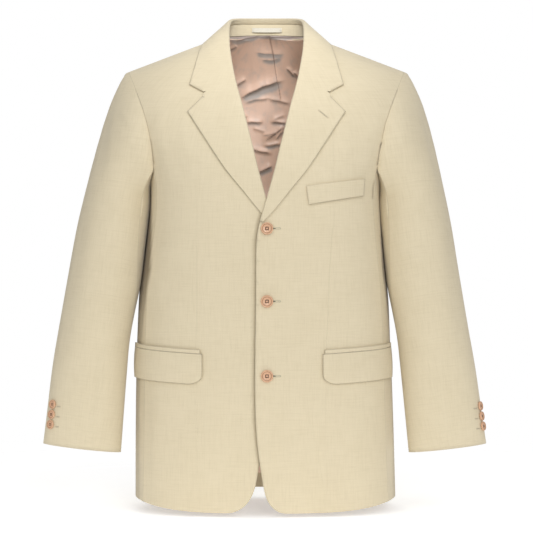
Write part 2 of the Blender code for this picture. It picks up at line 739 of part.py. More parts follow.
def sleeve_piece(rows, normals, first, last, side):
    """Outer and inner points of the sleeve's columns first to last, with half a seam gap at both."""
    count = len(rows[0])
    outer, inner = [], []
    for points, directions in zip(rows, normals):
        outer_row, inner_row = [], []
        for column in range(first, last + 1):
            here = column % count
            point = points[here]
            around = unit(points[(here + 1) % count] - points[here - 1])
            if column == first:
                point = point + around * SEAM_GAP / 2.0
            elif column == last:
                point = point - around * SEAM_GAP / 2.0
            outer_row.append(swayed(point, side))
            inner_row.append(swayed(point - directions[here] * CLOTH, side))
        outer.append(outer_row)
        inner.append(inner_row)
    return outer, inner


# ---------------------------------------------------------------- lapels and collar

def front_frame(x, z):
    """A point of the front's surface with its outward normal and its direction towards the side."""
    point = on_front(x, z)
    normal = body_normal(point)
    ahead = on_front(x + 0.002, z) - point
    return point, normal, unit(ahead - normal * np.dot(ahead, normal))


def lapel_grid(over):
    """Outer and inner points of a lapel, rows from the break up, columns from the roll outwards."""
    outer, inner = [], []
    for row in range(LAPEL_ROWS + 1):
        share = row / LAPEL_ROWS
        z = lerp(BREAK_Z, GORGE_Z - GORGE_GAP, share ** 0.9)
        turned = smooth_step((z + 0.268) / 0.035)
        start_angle = math.radians(lerp(40.0, -90.0, turned))
        tuck = LAPEL_TUCK * smooth_step((z + 0.235) / 0.030)
        edge_x = opening_x(z, over) + ROLL_RADIUS
        tip_x = read_table(LAPEL_EDGES, "share", share ** 0.9, "x")
        tip_z = read_table(LAPEL_EDGES, "share", share ** 0.9, "z") - GORGE_GAP
        base, normal, across = front_frame(edge_x, z)
        base = base + normal * ((lap_lift(base) if over else 0.0) - CLOTH / 2.0)
        outer_row, inner_row = [], []
        for step in range(LAPEL_ROLL_STEPS + 1):
            angle = lerp(start_angle, math.pi / 2.0, step / LAPEL_ROLL_STEPS)
            spoke = normal * math.sin(angle) - across * math.cos(angle)
            shift = across * tuck if step == 0 else 0.0 * across
            outer_row.append(base + spoke * ROLL_RADIUS + shift)
            inner_row.append(base + spoke * (ROLL_RADIUS - LAPEL_CLOTH) + shift)
        for step in range(1, LAPEL_COLUMNS + 1):
            reach = step / LAPEL_COLUMNS
            point = on_front(lerp(edge_x, tip_x, reach), lerp(z, tip_z, reach))
            away = body_normal(point)
            lift = (lap_lift(point) if over else 0.0) + LAPEL_GAP
            outer_row.append(point + away * (lift + LAPEL_CLOTH))
            inner_row.append(point + away * lift)
        outer.append(outer_row)
        inner.append(inner_row)
    return outer, inner


def add_two_sided(name, grids, material, side):
    """A wall from outer and inner points on the left half, swayed and mirrored to its side."""
    outer, inner = ([[swayed(point, side) for point in row] for row in grid] for grid in grids)
    return add_wall(name, outer, inner, material, mirrored=side < 0.0)


def collar_station(share):
    """Fold, outer edge and neck seam of the collar, from the gorge (0) to the middle of the back (1)."""
    values = {name: read_table(COLLAR, "share", share, name) for name in CollarStation._fields[1:]}
    return [np.array([values[f"{line}_{axis}"] for axis in "xyz"]) for line in ("fold", "edge", "seam")]


def collar_leaf_section(share):
    """One row of the collar leaf: up inside the neck, over the fold, and down to the outer edge."""
    fold, edge, _ = collar_station(share)
    edge = keep_clear(edge, LAPEL_GAP + LAPEL_CLOTH, settle=True)
    free = smooth_step((share - 0.15) / 0.25)  # 0 where the collar lies on the front, 1 where it stands
    lay = unit(edge - fold)
    ahead, behind = collar_station(min(share + 0.01, 1.0))[0], collar_station(max(share - 0.01, 0.0))[0]
    away = unit(np.cross(ahead - behind, lay))
    away = away if away[2] - away[1] * 0.3 > 0.0 else -away
    _, front_normal, across = front_frame(fold[0] + ROLL_RADIUS, min(fold[2], -0.012))
    lay = unit(lerp(across, lay, free))
    away = unit(lerp(front_normal, away, free))
    away = unit(away - lay * np.dot(away, lay))
    if share > 0.999:
        lay, away = lay * np.array((0.0, 1.0, 1.0)), away * np.array((0.0, 1.0, 1.0))
    hub = fold + lay * ROLL_RADIUS
    hub = lerp(keep_clear(hub, -CLOTH / 2.0, settle=True), hub, free)
    outer, inner = [], []
    for step in range(LAPEL_ROLL_STEPS + 1):
        angle = lerp(-math.pi / 2.0, math.pi / 2.0, step / LAPEL_ROLL_STEPS)
        spoke = away * math.sin(angle) - lay * math.cos(angle)
        shift = lay * COLLAR_LEG if step == 0 else 0.0 * lay
        outer.append(hub + spoke * ROLL_RADIUS + shift)
        inner.append(hub + spoke * (ROLL_RADIUS - LAPEL_CLOTH) + shift)
    start = outer[-1]
    for step in range(1, COLLAR_COLUMNS + 1):
        reach = step / COLLAR_COLUMNS
        point = lerp(start, edge, reach)
        point = point + away * COLLAR_BULGE * math.sin(math.pi * reach) * smooth_step(share * 3.0)
        bend = min(reach / NOTCH_REACH, (1.0 - reach) / (1.0 - NOTCH_REACH))
        point = point + NOTCH_BEND * bend * max(1.0 - share / 0.20, 0.0) ** 2
        point = keep_clear(point, LAPEL_GAP + LAPEL_CLOTH, settle=share < 0.02)
        direction = unit(lerp(body_normal(point), away, smooth_step((share - 0.25) / 0.2)))
        outer.append(point)
        inner.append(keep_clear(point - direction * LAPEL_CLOTH, LAPEL_GAP))
    if share < 0.001:
        rise = np.array((0.0, 0.0, GORGE_GAP))
        outer, inner = [point + rise for point in outer], [point + rise for point in inner]
    return outer, inner


def collar_shares(start):
    """Shares of the stations round the whole collar; a negative one is on the wearer's right."""
    half = [lerp(start, 1.0, row / COLLAR_ROWS) for row in range(COLLAR_ROWS + 1)]
    return [-share for share in half] + list(reversed(half[:-1]))


def mirror_row(points):
    return [point * np.array((-1.0, 1.0, 1.0)) for point in points]


def add_collar(material):
    """The collar leaf all round, and the stand inside the neck below the leaf's inner edge."""
    leaf_outer, leaf_inner, stand_outer, stand_inner = [], [], [], []
    for share in collar_shares(0.0):
        outer, inner = collar_leaf_section(abs(share))
        right = share < 0.0 or share == 0.0 and not leaf_outer
        leaf_outer.append(mirror_row(outer) if right else outer)
        leaf_inner.append(mirror_row(inner) if right else inner)
    for share in collar_shares(STAND_START):
        outer, inner = collar_leaf_section(abs(share))
        _, _, seam = collar_station(abs(share))
        down = unit(seam - outer[0])
        face = outer[0] + down * SEAM_GAP
        back = inner[0] + down * SEAM_GAP
        foot = seam + (back - face)
        middle = (face + seam) / 2.0
        rows = ([face, middle, seam], [back, (back + foot) / 2.0, foot])
        stand_outer.append(mirror_row(rows[0]) if share < 0.0 else rows[0])
        stand_inner.append(mirror_row(rows[1]) if share < 0.0 else rows[1])
    add_wall("collar_leaf", leaf_outer, leaf_inner, material)
    add_wall("collar_stand", stand_outer, stand_inner, material)


# ---------------------------------------------------------------- pieces that lie on the panels

def lower_body_point(along, z):
    """A point below the armhole at a distance round the body from the middle of the front."""
    level = section(z)
    previous = np.array((0.0, -level.front_depth, z))
    walked = 0.0
    for step in range(1, PLAN_STEPS + 1):
        turn = math.pi / 2.0 * step / PLAN_STEPS
        x = level.half_width * math.sin(turn) ** (2.0 / FRONT_POWER)
        y = -level.front_depth * math.cos(turn) ** (2.0 / FRONT_POWER)
        point = np.array((x, y, z))
        length = np.linalg.norm(point - previous)
        if walked + length >= along:
            return lerp(previous, point, (along - walked) / length)
        walked += length
        previous = point
    return previous


def patch_grids(corners, rows, columns, low, high, body_point, round_corner=0.0):
    """Outer and inner points of a patch between four corners (along, z), from low to high above the panel.

    The corners are top start, top end, bottom end and bottom start. round_corner rounds the
    bottom start corner.
    """
    top_start, top_end, bottom_end, bottom_start = (np.array(corner) for corner in corners)
    outer, inner = [], []
    for row in range(rows + 1):
        down = row / rows
        start = lerp(top_start, bottom_start, down)
        end = lerp(top_end, bottom_end, down)
        height = np.linalg.norm(bottom_start - top_start)
        left = max(round_corner - (1.0 - down) * height, 0.0)
        inset = round_corner - math.sqrt(max(round_corner ** 2 - left ** 2, 0.0))
        start = start + unit(end - start) * inset
        outer_row, inner_row = [], []
        for column in range(columns + 1):
            place = lerp(start, end, column / columns)
            point = body_point(*place)
            normal = body_normal(point)
            lift = high + (FLAP_SWELL * down * (1.0 - down) * 4.0 if round_corner else 0.0)
            outer_row.append(point + normal * lift)
            inner_row.append(point + normal * (lift - (high - low)))
        outer.append(outer_row)
        inner.append(inner_row)
    return outer, inner


def add_pocket(name, side, material):
    """A flap and the jetting of the pocket mouth above it."""
    start = FLAP_START_LEFT if side > 0.0 else FLAP_START_RIGHT
    end = start + FLAP_LENGTH
    low, high = FLAP_GAP, FLAP_GAP + FLAP_CLOTH
    corners = (
        (start, FLAP_FRONT_Z), (end, FLAP_SIDE_Z),
        (end, FLAP_SIDE_Z - FLAP_HEIGHT), (start, FLAP_FRONT_Z - FLAP_HEIGHT))
    grids = patch_grids(corners, 7, 11, low, high, lower_body_point, FLAP_CORNER)
    add_two_sided(f"flap_{name}", grids, material, side)
    foot, top = SEAM_GAP, SEAM_GAP + JETTING_HEIGHT
    corners = (
        (start + JETTING_SHORT, FLAP_FRONT_Z + top), (end, FLAP_SIDE_Z + top),
        (end, FLAP_SIDE_Z + foot), (start + JETTING_SHORT, FLAP_FRONT_Z + foot))
    grids = patch_grids(corners, 1, 9, low, high, lower_body_point)
    add_two_sided(f"jetting_{name}", grids, material, side)


def add_breast_welt(material):
    grids = patch_grids(WELT_CORNERS, 3, 8, WELT_GAP, WELT_GAP + WELT_CLOTH, on_front)
    add_two_sided("breast_welt", grids, material, 1.0)


# ---------------------------------------------------------------- lining and hanger loop

def neck_seam_share(x):
    """The collar station whose neck seam is x from the middle of the back."""
    behind = [station for station in reversed(COLLAR) if station.fold_y > 0.0]
    return np.interp(x, [station.seam_x for station in behind], [station.share for station in behind])


def neck_rim(x):
    """Where the back's cloth ends at the neck. It runs straight between the columns of the back's grid."""
    columns = [NECK_X * column / NECK_COLUMNS for column in range(NECK_COLUMNS + 1)]
    corners = [on_back(column, back_neck_z(column)) for column in columns]
    return np.array([np.interp(x, columns, [corner[axis] for corner in corners]) for axis in range(3)])


def lining_point(row, across):
    """A point of the back lining's outer face and the way out of the cloth there."""
    top_x = LINING_TOP_X * across
    neck_z = back_neck_z(top_x)
    if row > LINING_ROWS - 2:
        rim = neck_rim(top_x)
        normal = body_normal(rim)
        if row == LINING_ROWS:
            foot = collar_station(neck_seam_share(top_x))[2]
            return np.array((top_x, foot[1] - LINING_TOP_SETBACK, foot[2] - LINING_TOP_DROP)), normal
        return rim - normal * (CLOTH + LINING_EDGE_GAP / 4.0) - np.array((0.0, LINING_EDGE_GAP, 0.0)), normal
    up = (row / (LINING_ROWS - 2)) ** 0.85
    z = lerp(HEM_BACK_Z + LINING_HEM_RISE, neck_z - LINING_RIM_DROP, up)
    x = lerp(LINING_HEM_X * across, top_x, smooth_step((z + 0.30) / 0.30))
    point = on_back(x, z)
    normal = body_normal(point)
    gap = lerp(LINING_GAP, LINING_EDGE_GAP, up ** 6.0)
    return point - normal * (CLOTH + gap), normal


def add_lining(material):
    """The lining's outer points face the back's cloth. Rows run from its hem up, columns across the back."""
    mirror = np.array((-1.0, 1.0, 1.0))
    outer, inner = [], []
    for row in range(LINING_ROWS + 1):
        outer_row, inner_row = [], []
        for column in range(-LINING_COLUMNS, LINING_COLUMNS + 1):
            point, normal = lining_point(row, abs(column) / LINING_COLUMNS)
            pleat_x = lerp(PLEAT_TOP_X, PLEAT_FOOT_X, -point[2] / PLEAT_LENGTH)
            past_pleat = math.copysign(point[0], column) - pleat_x
            held = 1.0 - smooth_step((-point[2] - PLEAT_LENGTH * 0.6) / (PLEAT_LENGTH * 0.8))
            held = held if row < LINING_ROWS - 1 else 0.0
            point = point - normal * PLEAT_DEPTH * held * smooth_step(-past_pleat / PLEAT_STEP)
            under = point - normal * SATIN
            outer_row.append(hang(point * mirror if column < 0 else point))
            inner_row.append(hang(under * mirror if column < 0 else under))
        outer.append(outer_row)
        inner.append(inner_row)
    add_wall("back_lining", outer, inner, material)


def add_hanger_loop(material):
    """A flat strip across the inside of the collar stand, held at both ends."""
    outer, inner = [], []
    for row in range(2):
        outer_row, inner_row = [], []
        for column in range(LOOP_COLUMNS + 1):
            across = 2.0 * column / LOOP_COLUMNS - 1.0
            x = LOOP_X + across * LOOP_LENGTH / 2.0
            share = np.interp(abs(x), (0.0, 0.021, 0.044), (1.0, 0.92, 0.82))
            leaf_outer, _ = collar_leaf_section(share)
            top, foot = leaf_outer[0], collar_station(share)[2]
            z = LOOP_TOP_Z - row * LOOP_HEIGHT
            reach = (top[2] - z) / (top[2] - foot[2])
            y = lerp(top[1], foot[1], reach) - LOOP_GAP - LOOP_SLACK * (1.0 - across ** 4)
            outer_row.append(np.array((x, y - LOOP_CLOTH, z)))
            inner_row.append(np.array((x, y, z)))
        outer.append(outer_row)
        inner.append(inner_row)
    add_wall("hanger_loop", outer, inner, material)


# ---------------------------------------------------------------- buttons

def add_button(name, point, normal, up, sizes, material, side=1.0):
    """A button with a rim, a dish and four holes, its back at a point and facing along a normal."""
    across = unit(np.cross(up, normal))
    up = np.cross(normal, across)
    points = []

    def add_loop(loop, height):
        first = len(points)
        for x, y in loop:
            points.append(point + across * x + up * y + normal * height)
        return list(range(first, len(points)))

    def circle(radius, count, middle=(0.0, 0.0), start=0.0):
        turns = [start + 2.0 * math.pi * step / count for step in range(count)]
        return [(middle[0] + radius * math.cos(t), middle[1] + radius * math.sin(t)) for t in turns]

    radius = sizes.diameter / 2.0
    rims = []
    for share, height in ((0.90, 0.0), (1.0, 0.38), (0.86, 1.0), (0.70, 0.78)):
        rims.append(add_loop(circle(radius * share, sizes.segments), sizes.thickness * height))
    faces = []
    for low, high in zip(rims, rims[1:]):
        for step in range(sizes.segments):
            after = (step + 1) % sizes.segments
            faces.append((low[step], low[after], high[after], high[step]))
    holes = []
    for step in range(4):
        turn = math.pi / 4.0 + step * math.pi / 2.0
        middle = (radius * HOLE_PITCH * math.cos(turn), radius * HOLE_PITCH * math.sin(turn))
        loop = circle(radius * HOLE_SIZE, sizes.hole_segments, middle, turn)
        holes.append((add_loop(loop, 0.0), add_loop(loop, sizes.thickness * 0.78)))
    for low, high in holes:
        for step in range(sizes.hole_segments):
            after = (step + 1) % sizes.hole_segments
            faces.append((low[step], high[step], high[after], low[after]))
    for rim, level, turned in ((rims[0], 0, True), (rims[-1], 1, False)):
        loops = [rim] + [hole[level] for hole in holes]
        names = [index for loop in loops for index in loop]
        flat = [Vector((float(np.dot(points[i] - point, across)), float(np.dot(points[i] - point, up))))
                for i in names]
        edges, first = [], 0
        for loop in loops:
            edges += [(first + step, first + (step + 1) % len(loop)) for step in range(len(loop))]
            first += len(loop)
        _, _, triangles, sources, _, _ = delaunay_2d_cdt(flat, edges, [], 0, 1e-7, True)
        for triangle in triangles:
            corners = [sources[i][0] for i in triangle]
            loops_met = {(corner - len(rim)) // sizes.hole_segments for corner in corners}
            in_hole = min(corners) >= len(rim) and len(loops_met) == 1
            if not in_hole:
                corners = corners[::-1] if turned else corners
                faces.append(tuple(names[c] for c in corners))
    add_mesh(name, points, faces, material, mirrored=side < 0.0)


def add_front_buttons(material):
    for number, z in enumerate(FRONT_BUTTON_Z, start=1):
        point = on_front(FRONT_BUTTON_X, z)
        normal = body_normal(point)
        place = hang(point + normal * (lap_lift(point) + LAY_GAP))
        add_button(f"front_button_{number}", place, normal, (0.0, 0.0, 1.0), FRONT_BUTTON, material)


def add_cuff_buttons(material):
    for name, side, turn_deg, top_z in CUFF_BUTTONS:
        angle = math.radians(turn_deg)
        for number in range(CUFF_BUTTON_COUNT):
            z = top_z - number * CUFF_BUTTON_PITCH
            point = ring_point(z, angle)
            around = ring_point(z, angle + 0.01) - ring_point(z, angle - 0.01)
            along = ring_point(z + 0.002, angle) - ring_point(z - 0.002, angle)
            normal = unit(np.cross(along, around))
            normal = normal if np.dot(normal, (1.0, -1.0, 0.0)) > 0.0 else -normal
            place = swayed(point + normal * LAY_GAP, side)
            add_button(f"cuff_button_{name}_{number + 1}", place, normal, along, CUFF_BUTTON, material, side)


# ---------------------------------------------------------------- the blazer

def add_sleeve(name, side, material):
    rows, start_normals = sleeve_surface()
    normals = sleeve_normals(rows, start_normals)
    back = SLEEVE_BACK_SEAM_COLUMN
    for piece, first, last in (("top", 0, back), ("under", back, len(rows[0]))):
        outer, inner = sleeve_piece(rows, normals, first, last, side)
        add_wall(f"{piece}_sleeve_{name}", outer, inner, material, mirrored=side < 0.0)


def build():
    for item in list(bpy.data.objects):
        bpy.data.objects.remove(item)
    linen = make_material("linen", (0.73, 0.66, 0.49), 0.9)
    satin = make_material("lining_satin", (0.42, 0.30, 0.24), 0.45)
    braid = make_material("loop_braid", (0.80, 0.76, 0.66), 0.8)
    horn = make_material("button_horn", (0.78, 0.45, 0.30), 0.4)
    for name, side in (("right", -1.0), ("left", 1.0)):
        over = side > 0.0
        add_panel(f"front_{name}", front_surface(over), linen, not over, lap_lift if over else None)
        add_panel(f"side_{name}", side_surface(), linen, not over)
        add_panel(f"back_{name}", back_surface(), linen, not over)
        add_two_sided(f"lapel_{name}", lapel_grid(over), linen, side)
        add_sleeve(name, side, linen)
        add_pocket(name, side, linen)
    add_collar(linen)
    add_breast_welt(linen)
    add_lining(satin)
    add_hanger_loop(braid)
    add_front_buttons(horn)
    add_cuff_buttons(horn)


build()
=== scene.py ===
"""Looks of a single breasted linen blazer: cloth, lining, buttons, sewing and a studio stage.

Metres, +Z up. The front faces -Y and +X is the wearer's left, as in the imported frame.
Each cloth piece is a finer copy of its solid's wall, eased into soft creases.
"""
import json
import math

import bmesh
import bpy
import numpy as np
from bpy.props import FloatProperty, FloatVectorProperty, IntProperty, PointerProperty
from mathutils import Matrix, Vector
from mathutils.kdtree import KDTree

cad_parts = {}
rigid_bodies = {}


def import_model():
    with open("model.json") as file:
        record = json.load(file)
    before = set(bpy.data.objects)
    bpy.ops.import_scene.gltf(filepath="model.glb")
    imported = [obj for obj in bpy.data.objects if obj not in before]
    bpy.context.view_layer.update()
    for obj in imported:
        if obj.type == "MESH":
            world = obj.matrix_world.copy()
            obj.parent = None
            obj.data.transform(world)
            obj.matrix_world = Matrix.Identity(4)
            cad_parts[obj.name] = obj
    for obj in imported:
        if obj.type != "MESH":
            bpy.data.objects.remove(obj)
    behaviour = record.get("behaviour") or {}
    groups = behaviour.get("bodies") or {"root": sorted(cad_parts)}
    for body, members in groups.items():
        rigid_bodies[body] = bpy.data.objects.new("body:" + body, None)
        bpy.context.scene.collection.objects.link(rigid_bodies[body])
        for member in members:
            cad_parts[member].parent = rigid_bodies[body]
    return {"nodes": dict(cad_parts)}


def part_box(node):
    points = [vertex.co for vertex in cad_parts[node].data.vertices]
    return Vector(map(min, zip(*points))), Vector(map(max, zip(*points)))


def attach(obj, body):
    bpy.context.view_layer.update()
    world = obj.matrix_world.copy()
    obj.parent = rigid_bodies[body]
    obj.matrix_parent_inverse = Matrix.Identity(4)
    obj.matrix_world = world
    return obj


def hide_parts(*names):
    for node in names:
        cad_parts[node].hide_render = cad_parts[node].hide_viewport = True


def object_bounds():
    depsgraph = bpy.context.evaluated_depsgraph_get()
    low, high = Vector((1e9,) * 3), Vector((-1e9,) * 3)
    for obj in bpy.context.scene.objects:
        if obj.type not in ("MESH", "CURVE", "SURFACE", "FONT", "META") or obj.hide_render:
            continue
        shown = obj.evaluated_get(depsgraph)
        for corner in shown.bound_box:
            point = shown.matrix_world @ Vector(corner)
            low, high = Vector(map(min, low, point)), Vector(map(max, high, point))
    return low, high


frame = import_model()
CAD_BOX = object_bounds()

bl_info = {
    "name": "Linen blazer looks",
    "version": (1, 0, 0),
    "blender": (4, 5, 0),
    "location": "3D View > Sidebar > Blazer",
    "description": "Dresses the packed blazer in linen, satin, horn buttons and sewing",
    "category": "Object",
}

SIDES = (("right", -1.0), ("left", 1.0))
CLOTH_NODES = [f"{kind}_{side}" for side, _ in SIDES for kind in (
    "front", "side", "back", "top_sleeve", "under_sleeve", "lapel", "flap", "jetting")]
CLOTH_NODES += ["collar_leaf", "collar_stand", "breast_welt"]
BUTTON_NODES = [f"front_button_{number}" for number in (1, 2, 3)]
CUFF_BUTTON_NODES = [f"cuff_button_{side}_{number}" for side, _ in SIDES for number in (1, 2, 3)]


# ---------------------------------------------------------------- settings

def colour(name, description, default):
    return FloatVectorProperty(
        name=name, description=description, default=default, size=3, min=0.0, max=1.0, subtype="COLOR")


def length(name, description, default):
    return FloatProperty(name=name, description=description, default=default, unit="LENGTH", precision=5)


class BlazerSizes(bpy.types.PropertyGroup):
    fineness: IntProperty(
        name="Fineness", description="Times that each wall of cloth is subdivided", default=2, min=1, max=3)
    crease_depth: length("Crease depth", "Depth of the deepest soft crease in the linen", 0.0030)
    lining_crease: length("Lining crease", "Height of the tallest crease in the lining", 0.0060)
    seam_width: length("Seam width", "Half the width of the groove at a seam", 0.0013)
    # Painted shade along the turned edges of the lapels, collar leaf, flaps and left front.
    edge_width: length("Edge width", "Width of the pressed shade along a turned edge", 0.0022)
    dart_width: length("Dart width", "Half the width of the groove along a dart", 0.0016)
    thread_pitch: length("Thread pitch", "Distance between threads of the weave", 0.0008)
    slub_length: length("Slub length", "Usual length of a thick place in a thread", 0.030)
    sewing_thread: length("Sewing thread", "Thickness of the thread in buttons and buttonholes", 0.0006)
    floor_drop: length("Floor drop", "How far the floor lies below the hem", 0.006)


class BlazerColours(bpy.types.PropertyGroup):
    linen: colour("Linen", "Bleached side of the linen threads", (0.720, 0.630, 0.452))
    linen_slub: colour("Slub", "Darker raw flax in the thick places", (0.560, 0.475, 0.310))
    # The lining's own colour comes first; the grey after it is painted sheen on the faces turned down below
    # its creases, painted shade along its top under the collar stand, and random mottle.
    satin_warm: colour("Warm satin", "Lining where the warp shows", (0.940, 0.660, 0.510))
    satin_grey_sheen_and_mottle: colour("Cool satin", "Lining where the weft shows", (0.520, 0.465, 0.430))
    # Painted shade deep in the lining's creases, in its pleat and along its top under the collar stand.
    satin_shade: colour("Satin folds", "Lining down in its sharpest folds", (0.200, 0.110, 0.085))
    horn: colour("Horn", "Light parts of the buttons", (0.700, 0.420, 0.260))
    # Dark horn serves both the grain's streaks and the painted shade in each button's dish.
    horn_dark: colour("Dark horn", "Streaks and hollows of the buttons", (0.300, 0.150, 0.075))
    braid: colour("Braid", "Hanger loop", (0.800, 0.755, 0.640))
    buttonhole: colour("Buttonhole thread", "Thread round the buttonholes", (0.400, 0.400, 0.300))
    button_thread: colour("Button thread", "Thread that holds the buttons", (0.110, 0.050, 0.028))
    floor: colour("Floor", "Studio floor", (0.95, 0.95, 0.95))


def sizes():
    return bpy.context.scene.blazer_sizes


def colours():
    return bpy.context.scene.blazer_colours


# ---------------------------------------------------------------- small maths

def smooth_step(value):
    value = np.clip(value, 0.0, 1.0)
    return value * value * (3.0 - 2.0 * value)


def unit(vector):
    vector = np.asarray(vector, float)
    return vector / np.linalg.norm(vector)


# ---------------------------------------------------------------- objects and meshes

MERGE_REACH = 0.00002  # vertices nearer than this are one
RIM_ANGLE = math.radians(50.0)  # sharper edges are the rims of a wall


def select_only(*objects):
    bpy.ops.object.select_all(action="DESELECT")
    for item in objects:
        item.select_set(True)
    bpy.context.view_layer.objects.active = objects[0]


def coordinates(item):
    flat = np.empty(len(item.data.vertices) * 3)
    item.data.vertices.foreach_get("co", flat)
    return flat.reshape(-1, 3)


def set_coordinates(item, points):
    item.data.vertices.foreach_set("co", np.ascontiguousarray(points, dtype=np.float32).ravel())
    item.data.update()


def store(item, name, values):
    attribute = item.data.attributes.new(name, "FLOAT", "POINT")
    attribute.data.foreach_set("value", np.ascontiguousarray(values, dtype=np.float32))


def set_uv(item, across, along):
    """A UV map in metres, from one value across and one along the cloth for each vertex."""
    loops = np.empty(len(item.data.loops), dtype=np.int32)
    item.data.loops.foreach_get("vertex_index", loops)
    layer = item.data.uv_layers.new(name="cloth")
    layer.data.foreach_set("uv", np.column_stack((across[loops], along[loops])).astype(np.float32).ravel())


def copy_node(node, name):
    """A copy of a node's mesh with its doubles merged and its triangles paired into quads."""
    mesh = frame["nodes"][node].data.copy()
    mesh.name = name
    mesh.materials.clear()
    item = bpy.data.objects.new(name, mesh)
    bpy.context.collection.objects.link(item)
    work = bmesh.new()
    work.from_mesh(mesh)
    bmesh.ops.remove_doubles(work, verts=work.verts, dist=MERGE_REACH)
    bmesh.ops.join_triangles(
        work, faces=work.faces,
        angle_face_threshold=math.radians(40.0), angle_shape_threshold=math.radians(70.0))
    work.to_mesh(mesh)
    work.free()
    return item


def rim_edges(work):
    """The edges along the sharp rims of a wall."""
    return [edge for edge in work.edges if len(edge.link_faces) == 2 and edge.calc_face_angle() > RIM_ANGLE]


def tree_of(places):
    tree = KDTree(len(places))
    for index, place in enumerate(places):
        tree.insert(place, index)
    tree.balance()
    return tree


def crease_rims(item):
    """Marks the sharp rims of a wall so that subdivision keeps them."""
    work = bmesh.new()
    work.from_mesh(item.data)
    crease = work.edges.layers.float.get("crease_edge") or work.edges.layers.float.new("crease_edge")
    for edge in rim_edges(work):
        edge[crease] = 1.0
    work.to_mesh(item.data)
    work.free()


def rim_points(item, spacing=0.001):
    """Points along the sharp rims of a finished wall."""
    work = bmesh.new()
    work.from_mesh(item.data)
    bmesh.ops.remove_doubles(work, verts=work.verts, dist=MERGE_REACH)
    points = []
    for edge in rim_edges(work):
        start, end = edge.verts[0].co, edge.verts[1].co
        count = max(1, int((end - start).length / spacing))
        points += [tuple(start.lerp(end, step / count)) for step in range(count + 1)]
    work.free()
    return points


NEIGHBOUR_ROOM = 0.002  # pieces whose boxes are further apart aren't neighbours
NEIGHBOUR_SPACING = 0.0004


def neighbour_rims(node, others=CLOTH_NODES):
    """A tree of the places along the rims of the other cloth pieces near a node."""
    low, high = (np.array(corner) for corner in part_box(node))
    places = []
    for other in others:
        if other == node:
            continue
        other_low, other_high = (np.array(corner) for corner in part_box(other))
        if np.all(other_low < high + NEIGHBOUR_ROOM) and np.all(other_high > low - NEIGHBOUR_ROOM):
            places += rim_points(frame["nodes"][other], NEIGHBOUR_SPACING)
    return tree_of(places)


# How far a rim is drawn to the piece that it is sewn to, and at the gorge, between these distances
# from the middle, how far from the lapel to the collar leaf.
SEAM_REACH = 0.0024
GORGE_REACH, GORGE_SPAN = 0.0070, (0.044, 0.1010)


def gorge_rims(node):
    """A tree of the rims across the gorge seam from a lapel or the collar leaf, and none for other pieces."""
    if node == "collar_leaf":
        return neighbour_rims(node, ("lapel_right", "lapel_left"))
    return neighbour_rims(node, ("collar_leaf",)) if node.startswith("lapel") else None


def close_seams(item, node):
    """Brings the rims that are sewn to a neighbour half way to it, so that no slit shows between them."""
    near, gorge = neighbour_rims(node), gorge_rims(node)
    points = coordinates(item)
    work = bmesh.new()
    work.from_mesh(item.data)
    rims = {vertex.index for edge in rim_edges(work) for vertex in edge.verts}
    work.free()
    for index in rims:
        on_gorge = gorge and GORGE_SPAN[0] < abs(points[index][0]) < GORGE_SPAN[1]
        tree, reach = (gorge, GORGE_REACH) if on_gorge else (near, SEAM_REACH)
        place, _, distance = tree.find(points[index])
        if place is not None and distance < reach:
            points[index] += (np.array(place) - points[index]) / 2.0
    set_coordinates(item, points)


def subdivide(item, levels):
    crease_rims(item)
    modifier = item.modifiers.new("finer", "SUBSURF")
    modifier.levels = modifier.render_levels = levels
    modifier.boundary_smooth = "PRESERVE_CORNERS"
    select_only(item)
    bpy.ops.object.modifier_apply(modifier=modifier.name)


def smooth(item, angle_deg=50.0):
    select_only(item)
    bpy.ops.object.shade_smooth_by_angle(angle=math.radians(angle_deg))


def finish_piece(item, material, node=None):
    item.data.materials.clear()
    item.data.materials.append(material)
    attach(item, "root")
    if node:
        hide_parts(node)


# ---------------------------------------------------------------- the lie of the cloth

BODY_HALF_WIDTH = 0.207
BODY_FRONT_DEPTH, BODY_FRONT_POWER = 0.125, 2.8
BODY_BACK_DEPTH, BODY_BACK_POWER = 0.118, 2.5
SLEEVE_TOP = np.array((0.2150, 0.000, -0.1000))
SLEEVE_FOOT = np.array((0.2962, -0.054, -0.6670))
SLEEVE_RADIUS = 0.058


def girth_table(steps=240):
    """Angles round the body from the middle of the front, and the cloth's length up to each."""
    turns = np.linspace(0.0, math.pi, steps + 1)
    front = turns <= math.pi / 2.0
    power = np.where(front, BODY_FRONT_POWER, BODY_BACK_POWER)
    depth = np.where(front, BODY_FRONT_DEPTH, BODY_BACK_DEPTH)
    x = BODY_HALF_WIDTH * np.abs(np.sin(turns)) ** (2.0 / power)
    y = -depth * np.sign(np.cos(turns)) * np.abs(np.cos(turns)) ** (2.0 / power)
    lengths = np.concatenate(((0.0,), np.cumsum(np.hypot(np.diff(x), np.diff(y)))))
    return np.arctan2(x / BODY_HALF_WIDTH, -y / BODY_FRONT_DEPTH), lengths


GIRTH_ANGLES, GIRTH_LENGTHS = girth_table()


def body_lie(points):
    """Cloth coordinates on the body: round it from the middle of the front, and up it."""
    angle = np.arctan2(np.abs(points[:, 0]) / BODY_HALF_WIDTH, -points[:, 1] / BODY_FRONT_DEPTH)
    around = np.interp(angle, GIRTH_ANGLES, GIRTH_LENGTHS)
    return np.copysign(around, points[:, 0]), points[:, 2].copy()


def body_outward(points):
    out = np.column_stack((
        points[:, 0] / BODY_HALF_WIDTH ** 2, points[:, 1] / BODY_FRONT_DEPTH ** 2, np.zeros(len(points))))
    return out / np.maximum(np.linalg.norm(out, axis=1), 1e-6)[:, None]


def sleeve_axis(side):
    top, foot = SLEEVE_TOP * (side, 1.0, 1.0), SLEEVE_FOOT * (side, 1.0, 1.0)
    return top, foot, unit(foot - top)


def sleeve_outward(points, side):
    top, _, down = sleeve_axis(side)
    rest = points - top
    out = rest - (rest @ down)[:, None] * down
    return out / np.maximum(np.linalg.norm(out, axis=1), 1e-6)[:, None]


